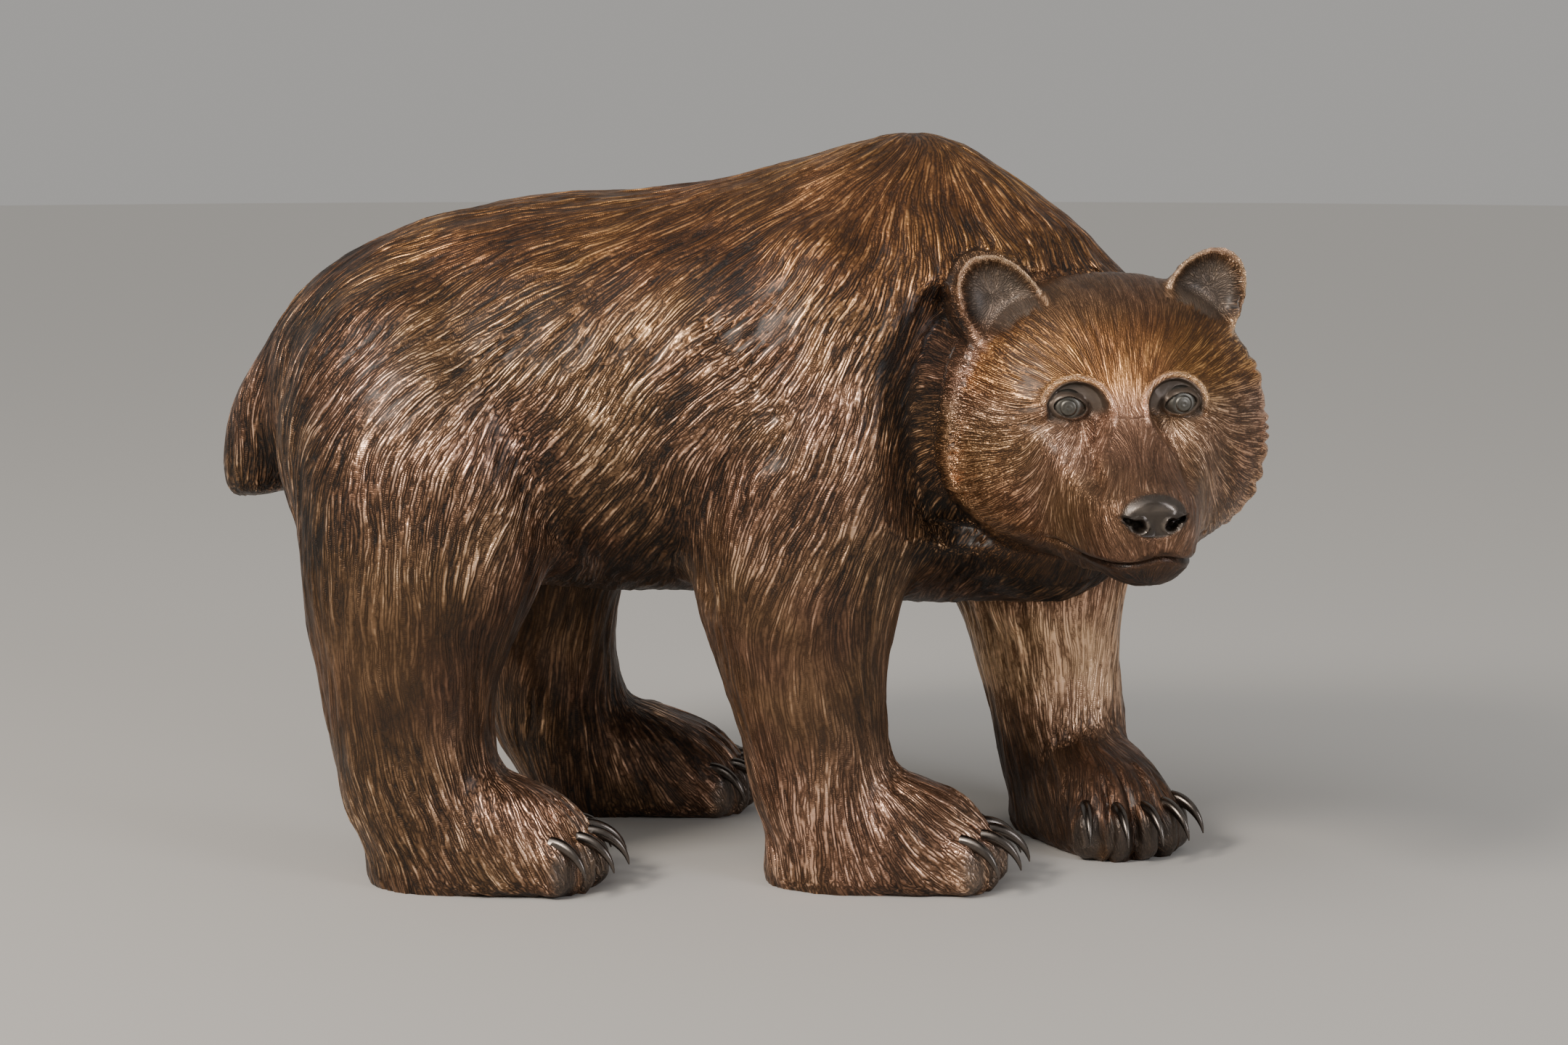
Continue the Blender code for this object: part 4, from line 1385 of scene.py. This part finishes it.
def clouded_bronze(name, clouds_per_metre, dark, light):
    """Bare bronze, clouded between two tones. Returns the material, its shader and the clouds."""
    material = bpy.data.materials.new(name)
    material.use_nodes = True
    tree = material.node_tree
    shader = tree.nodes["Principled BSDF"]
    place = add_node(tree, "ShaderNodeTexCoord").outputs["Object"]
    clouds = add_node(
        tree, "ShaderNodeTexNoise", {"Vector": place, "Scale": clouds_per_metre}
    ).outputs["Fac"]
    colour = add_node(
        tree, "ShaderNodeMix", {"Factor": clouds, MIX_LOW: srgb(dark), MIX_HIGH: srgb(light)},
        data_type="RGBA",
    ).outputs[MIX_COLOUR]
    tree.links.new(colour, shader.inputs["Base Color"])
    shader.inputs["Metallic"].default_value = 1.0
    return material, shader, clouds


def claw_bronze():
    """The same bronze, stained black and polished to a gunmetal gloss: long clear highlights."""
    material, shader, clouds = clouded_bronze("polished_black_bronze", CLAW_CLOUDS, "#4b4541", "#7b736c")
    tree = material.node_tree
    rough = add_node(
        tree, "ShaderNodeMapRange", {"Value": clouds, "To Min": 0.20, "To Max": 0.34}
    ).outputs["Result"]
    tree.links.new(rough, shader.inputs["Roughness"])
    return material


def eye_bronze():
    """Bare bronze toned grey-green and burnished, so that the engraved rings read."""
    material, shader, _ = clouded_bronze("burnished_grey_bronze", EYE_CLOUDS, "#56544f", "#7b776f")
    shader.inputs["Roughness"].default_value = 0.42
    return material


def add_number(mesh, name, values):
    mesh.attributes.new(name, "FLOAT", "POINT").data.foreach_set("value", values.astype(np.float32))


def add_direction(mesh, name, vectors):
    data = mesh.attributes.new(name, "FLOAT_VECTOR", "POINT").data
    data.foreach_set("vector", vectors.astype(np.float32).ravel())


def body_parts(points, normals, regions):
    """Where the parts of body and legs are that are toned apart, some of them with painted light and shade.
    """
    x, y, z = points.T
    body = 1 - regions.head
    # The sides that face the cub's right look towards the camera and the lamps; the painted light and shade
    # on shin and far forefoot follow them
    facing = smooth_step(0.4, -0.4, normals[:, 1])  # the sides that face the cub's right
    wander = z + 0.02 * swell(points, 0.12, 21)
    along, beside, _ = regions.feet[list(LEGS).index("left_fore")].T
    # The far forefoot, darkened as painted shade, most where it faces the light
    far_foot = smooth_step(0.115, 0.055, z) * (np.abs(beside) < 0.080) * (np.abs(along - 0.09) < 0.15)
    far_foot *= 0.3 + 0.7 * facing
    # The feet, lightened as a painted highlight, on the near side only
    feet = band(z, (0.0, 0.02), (0.12, 0.05)) * (1 - 0.9 * smooth_step(0.0, 0.05, y))
    # The far foreleg's shin, lightened as a painted highlight on its lit front
    shin = band(z, (0.06, 0.13), (0.26, 0.20)) * (x > 0.12) * (y > 0)
    return {
        # The flank's lightening is partly a painted highlight of the lit side
        "flank": smooth_step(0.19, 0.34, wander) * smooth_step(0.52, 0.42, z),
        "back": smooth_step(0.36, 0.50, z) * body,
        "hump": smooth_step(0.46, 0.54, z),
        "rear": smooth_step(-0.24, -0.33, x) * smooth_step(0.20, 0.26, z),
        "feet": feet * (1 - far_foot),
        "far_foot": far_foot,
        "toes": regions.toes(),
        "shin": shin * (0.25 + 0.75 * facing),
        "leg": band(z, (0.08, 0.14), (0.27, 0.18)),
        "hind_leg": smooth_step(0.27, 0.18, z) * (x < -0.05),
        # Faces that look down, darkened as painted shade
        "under": smooth_step(-0.05, -0.60, normals[:, 2]) * smooth_step(0.10, 0.16, z),
        # The throat under the head, darkened as painted shade
        "throat": regions.throat() * body,
        "patchy": swell(points, 0.09, 31) * body,
    }


def head_parts(regions):
    """Where the parts of the head are that are toned apart, some of them with painted light and shade, and
    the collar of the neck behind it.
    """
    ahead, aside, level = regions.face.T
    across = np.abs(aside)
    named = "nose_pad lips gap sockets lids brows below_eyes cups ear_rims ruff".split()
    parts = {name: getattr(regions, name)() for name in named}
    collar = band(regions.share, (1.04, 1.10), (1.75, 1.20))
    fringe = regions.head * smooth_step(0.066, 0.085, across) * band(level, (-0.085, -0.065), (0.055, 0.030))
    forehead = np.hypot(aside, 0.8 * (level - 0.030))
    bridge = np.hypot(0.6 * aside, level - 0.004)
    holes = [regions.nostril(side) for side in SIDES]
    wings = [np.hypot(side * aside - 0.0062, level + 0.0575) for side in SIDES]
    nose_top = bump(level, -0.0470 - 6.0 * aside**2, 0.0018)
    return {
        **parts,
        # The neck behind and under the head, darkened as painted shade
        "collar": collar * smooth_step(-0.160, -0.060, ahead) * smooth_step(0.11, 0.07, level),
        # Under the jaw, darkened as painted shade
        "chin": smooth_step(-0.080, -0.098, level),
        "cheek": smooth_step(0.04, 0.08, across),
        # The cheeks' edge, painted with a highlight, fainter on the cub's left
        "fringe": fringe * np.where(aside > 0, 0.4, 1.0),
        "crown": smooth_step(0.050, 0.080, level) * (1 - parts["cups"]),
        # Darkened a little as painted shade
        "muzzle": smooth_step(0.07, 0.10, ahead),
        "forehead": bump(forehead, 0.0, 0.017),
        "forehead_coat": band(level, (0.005, 0.035), (0.095, 0.065)) * (ahead > 0.02),
        "jaw_coat": smooth_step(0.02, -0.03, level) * smooth_step(0.075, 0.05, ahead),
        "bridge": regions.head * bump(bridge, 0.0, 0.006) * (ahead > 0.06),
        # Nostrils painted dark as shade; their rims and the nose's wings painted with highlights
        "nostrils": sum(smooth_step(1.15, 0.85, hole) for hole in holes),
        "nostril_rims": sum(bump(hole, 1.35, 0.18) for hole in holes) * (level < -0.058),
        "nose_wings": sum(bump(wing, 0.0, 0.0016) for wing in wings) * parts["nose_pad"],
        # A band along the nose pad's top edge, painted as a highlight
        "nose_top": nose_top * (across < 0.0145) * (ahead > 0.150),
    }


def weighed(weights, parts):
    """The parts that a table names, added up, each times its weight."""
    return sum(weight * parts[name] for name, weight in weights.items())


def nearest_rows(places, points):
    """For each point, which of the places is nearest."""
    tree = KDTree(len(places))
    for i, place in enumerate(places):
        tree.insert(place, i)
    tree.balance()
    return np.array([tree.find(point)[1] for point in points])


def mark_surface(mesh, sizes, coat, axes, laid):
    """Writes what the material reads: height on the lock and its tone, the way and the curve of the
    hair, and where the bronze is smooth, amber, umber, rubbed bright or left dark, and where light and shade
    are painted on it."""
    points = points_of(mesh)
    places, smooth_normals, relief, combed = laid
    nearest = nearest_rows(places, points)
    normals = smooth_normals[nearest]
    regions = Regions(points, sizes, axes)
    head = regions.head
    body = 1 - head
    parts = {"all": 1.0, **body_parts(points, normals, regions), **head_parts(regions)}

    smooth = np.clip(weighed(SMOOTH, parts), 0, 1)
    amber = (parts["back"] + head * weighed(HEAD_AMBER, parts)) * (1 - parts["brows"])
    # The rub sums the tables: partly wear and tone, partly painted highlights and painted shade
    rub_and_painted_light = body * weighed({**BODY_RUB_AND_LIGHT, **LEG_RUB_AND_LIGHT}, parts) + head * weighed(HEAD_RUB_AND_LIGHT, parts)
    rub_and_painted_light += weighed({**COAT_RUB_AND_LIGHT, **FACE_RUB_AND_LIGHT, **EAR_RUB_AND_LIGHT}, parts)
    rub_and_painted_light = np.maximum(rub_and_painted_light, DARKEST_RUB_AND_SHADE) + weighed({**LAST_RUB_AND_LIGHT, **NOSTRIL_SHADE_AND_HIGHLIGHTS}, parts)
    bold = body * weighed(BODY_BOLD, parts) + head * weighed(HEAD_BOLD, parts)
    # The far forefoot's strands are drawn fainter, as part of its painted shade, and so are the ear cups'
    bold *= (1 - 0.4 * body * parts["far_foot"]) * (1 - 0.4 * parts["cups"])
    bold += weighed(BOLD, parts) + CROWN_BOLD * head * parts["crown"]
    bold *= 1 - 0.6 * parts["bridge"]
    tone = np.clip(0.5 + 0.25 * combed[nearest], 0, 1)

    add_number(mesh, "relief", relief[nearest])
    add_number(mesh, "tone", tone * (1 - smooth) + 0.5 * smooth)
    add_number(mesh, "bold", bold * (1 - smooth) * (1 - parts["sockets"]))
    add_number(mesh, "smooth", smooth - 0.8 * np.maximum(parts["collar"], parts["throat"]))
    add_number(mesh, "amber", np.clip(amber, 0, 1))
    add_number(mesh, "umber", np.clip(weighed(UMBER, parts), 0, 1))
    add_number(mesh, "rub_and_painted_light", rub_and_painted_light)

    flow = lie_of_hair(points, normals, regions)
    bend = curve_of_hair(points, normals, flow, sizes, axes)
    finer = np.where(head > 0.5, 1 / coat.head_share, 1.0)[:, None]
    add_direction(mesh, "place", points * finer)
    add_direction(mesh, "flow", flow)
    add_direction(mesh, "bend", bend / finer)


def let_in_claws(obj, sizes):
    claws = bmesh.new()
    for leg in LEGS.values():
        add_claws(claws, sizes, foot_frame(*leg))
    return let_in(obj, "claws", claws, claw_bronze())


def let_in_eyes(obj, sizes, axes):
    eyes = bmesh.new()
    for side in SIDES:
        place = axes @ Matrix.Translation((EYE_PLACE.x, side * EYE_PLACE.y, EYE_PLACE.z))
        add_eyeball(eyes, sizes, place @ Matrix.Rotation(side * EYE_TURN, 4, "Z"))
    return let_in(obj, "eyes", eyes, eye_bronze())


def flatten_soles(mesh):
    points = points_of(mesh)
    points[:, 2] = np.maximum(points[:, 2], 0)
    set_points(mesh, points)


def bring_over_origin(mesh):
    """Moves the mesh level until the middle of its box is over the origin."""
    points = points_of(mesh)
    middle = (points.min(axis=0) + points.max(axis=0)) / 2
    mesh.transform(Matrix.Translation((-middle[0], -middle[1], 0)))


class CUB_OT_cast(bpy.types.Operator):
    """Model, chase and patinate the cub as one bronze."""

    bl_idname = "cub.cast"
    bl_label = "Cast the cub"

    def execute(self, context):
        sizes = context.scene.cub_sizes
        coat = context.scene.cub_coat
        axes = head_frame()
        mesh = make_figure(sizes, axes)
        model_features(mesh, sizes, axes)
        laid = chase_coat(mesh, sizes, coat, axes)
        flatten_soles(mesh)
        mesh = thinned(mesh, coat.triangles)
        mesh.materials.clear()
        mesh.materials.append(chased_bronze(context.scene.cub_finish, coat))

        cub = new_object("figure", mesh)
        whole = baked(cub, let_in_claws(cub, sizes), let_in_eyes(cub, sizes, axes))
        mark_surface(whole, sizes, coat, axes, laid)
        bring_over_origin(whole)
        whole.shade_smooth()
        whole.set_sharp_from_angle(angle=radians(40))
        cub = new_object(CUB_NODE + "_bronze", whole)
        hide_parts(CUB_NODE)
        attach(cub, "root")
        return {"FINISHED"}


def aim(obj, target):
    """Turns a light to shine at the target."""
    obj.rotation_euler = (Vector(target) - obj.location).to_track_quat("-Z", "Y").to_euler()


def add_softbox(name, place, size, power, colour):
    light = bpy.data.lights.new(name, "AREA")
    light.shape = "RECTANGLE"
    light.size, light.size_y = size
    light.energy = power
    light.color = srgb(colour)[:3]
    softbox = new_object(name, light)
    softbox.location = place
    aim(softbox, LIGHT_AIM)


def backdrop_paper():
    """Pale cartridge paper, quite matt, so that the floor shows soft shadows and no gloss."""
    paper = bpy.data.materials.new("matt_pale_backdrop_paper")
    paper.use_nodes = True
    shader = paper.node_tree.nodes["Principled BSDF"]
    shader.inputs["Base Color"].default_value = srgb("#b9b6b1")
    shader.inputs["Roughness"].default_value = 1.0
    return paper


class CUB_OT_studio(bpy.types.Operator):
    """Set up a pale floor, soft lights and the camera."""

    bl_idname = "cub.studio"
    bl_label = "Set up the studio"

    def execute(self, context):
        studio = context.scene.cub_studio
        bm = bmesh.new()
        bmesh.ops.create_circle(bm, cap_ends=True, segments=96, radius=FLOOR_RADIUS)
        floor = new_object("floor", new_mesh("floor", bm))
        floor.location.z = CAD_BOX[0][2]
        floor.data.materials.append(backdrop_paper())

        add_softbox("key", (-1.7, -2.2, 2.2), (0.9, 0.7), studio.key_power, "#fff4e8")
        add_softbox("fill", (2.4, -1.8, 1.3), (1.0, 1.2), studio.fill_power, "#f4f6ff")
        sun = bpy.data.lights.new("even", "SUN")
        sun.energy = studio.even_light
        sun.angle = radians(50)
        even = new_object("even", sun)
        even.location = (-1.2, -1.6, 2.4)
        aim(even, (0, 0, 0))

        world = bpy.data.worlds.new("studio")
        world.use_nodes = True
        background = world.node_tree.nodes["Background"]
        background.inputs["Color"].default_value = srgb("#b4b2af")
        background.inputs["Strength"].default_value = 0.86
        context.scene.world = world

        camera = new_object("camera", bpy.data.cameras.new("camera"))
        camera.data.lens = studio.lens
        camera.location = CAMERA_PLACE
        camera.rotation_euler = (radians(90) - CAMERA_DROP, 0.0, CAMERA_YAW)
        context.scene.camera = camera
        return {"FINISHED"}


class CUB_PT_panel(bpy.types.Panel):
    """Sizes, finish and studio of the bear cub."""

    bl_idname = "CUB_PT_panel"
    bl_label = "Bear cub"
    bl_space_type = "VIEW_3D"
    bl_region_type = "UI"
    bl_category = "Bear cub"

    def draw(self, context):
        for group in GROUPS:
            settings = getattr(context.scene, group)
            box = self.layout.box()
            for name in settings.bl_rna.properties.keys():
                if name not in ("rna_type", "name"):
                    box.prop(settings, name)
        self.layout.operator(CUB_OT_cast.bl_idname)
        self.layout.operator(CUB_OT_studio.bl_idname)


GROUPS = {
    "cub_sizes": CubSizes,
    "cub_coat": CoatSizes,
    "cub_finish": BronzeFinish,
    "cub_studio": StudioSettings,
}
CLASSES = (*GROUPS.values(), CUB_OT_cast, CUB_OT_studio, CUB_PT_panel)


def register():
    for cls in CLASSES:
        bpy.utils.register_class(cls)
    for name, group in GROUPS.items():
        setattr(bpy.types.Scene, name, PointerProperty(type=group))


def unregister():
    for name in GROUPS:
        delattr(bpy.types.Scene, name)
    for cls in reversed(CLASSES):
        bpy.utils.unregister_class(cls)


def main():
    register()
    bpy.ops.cub.cast()
    bpy.ops.cub.studio()


if __name__ == "__main__":
    main()
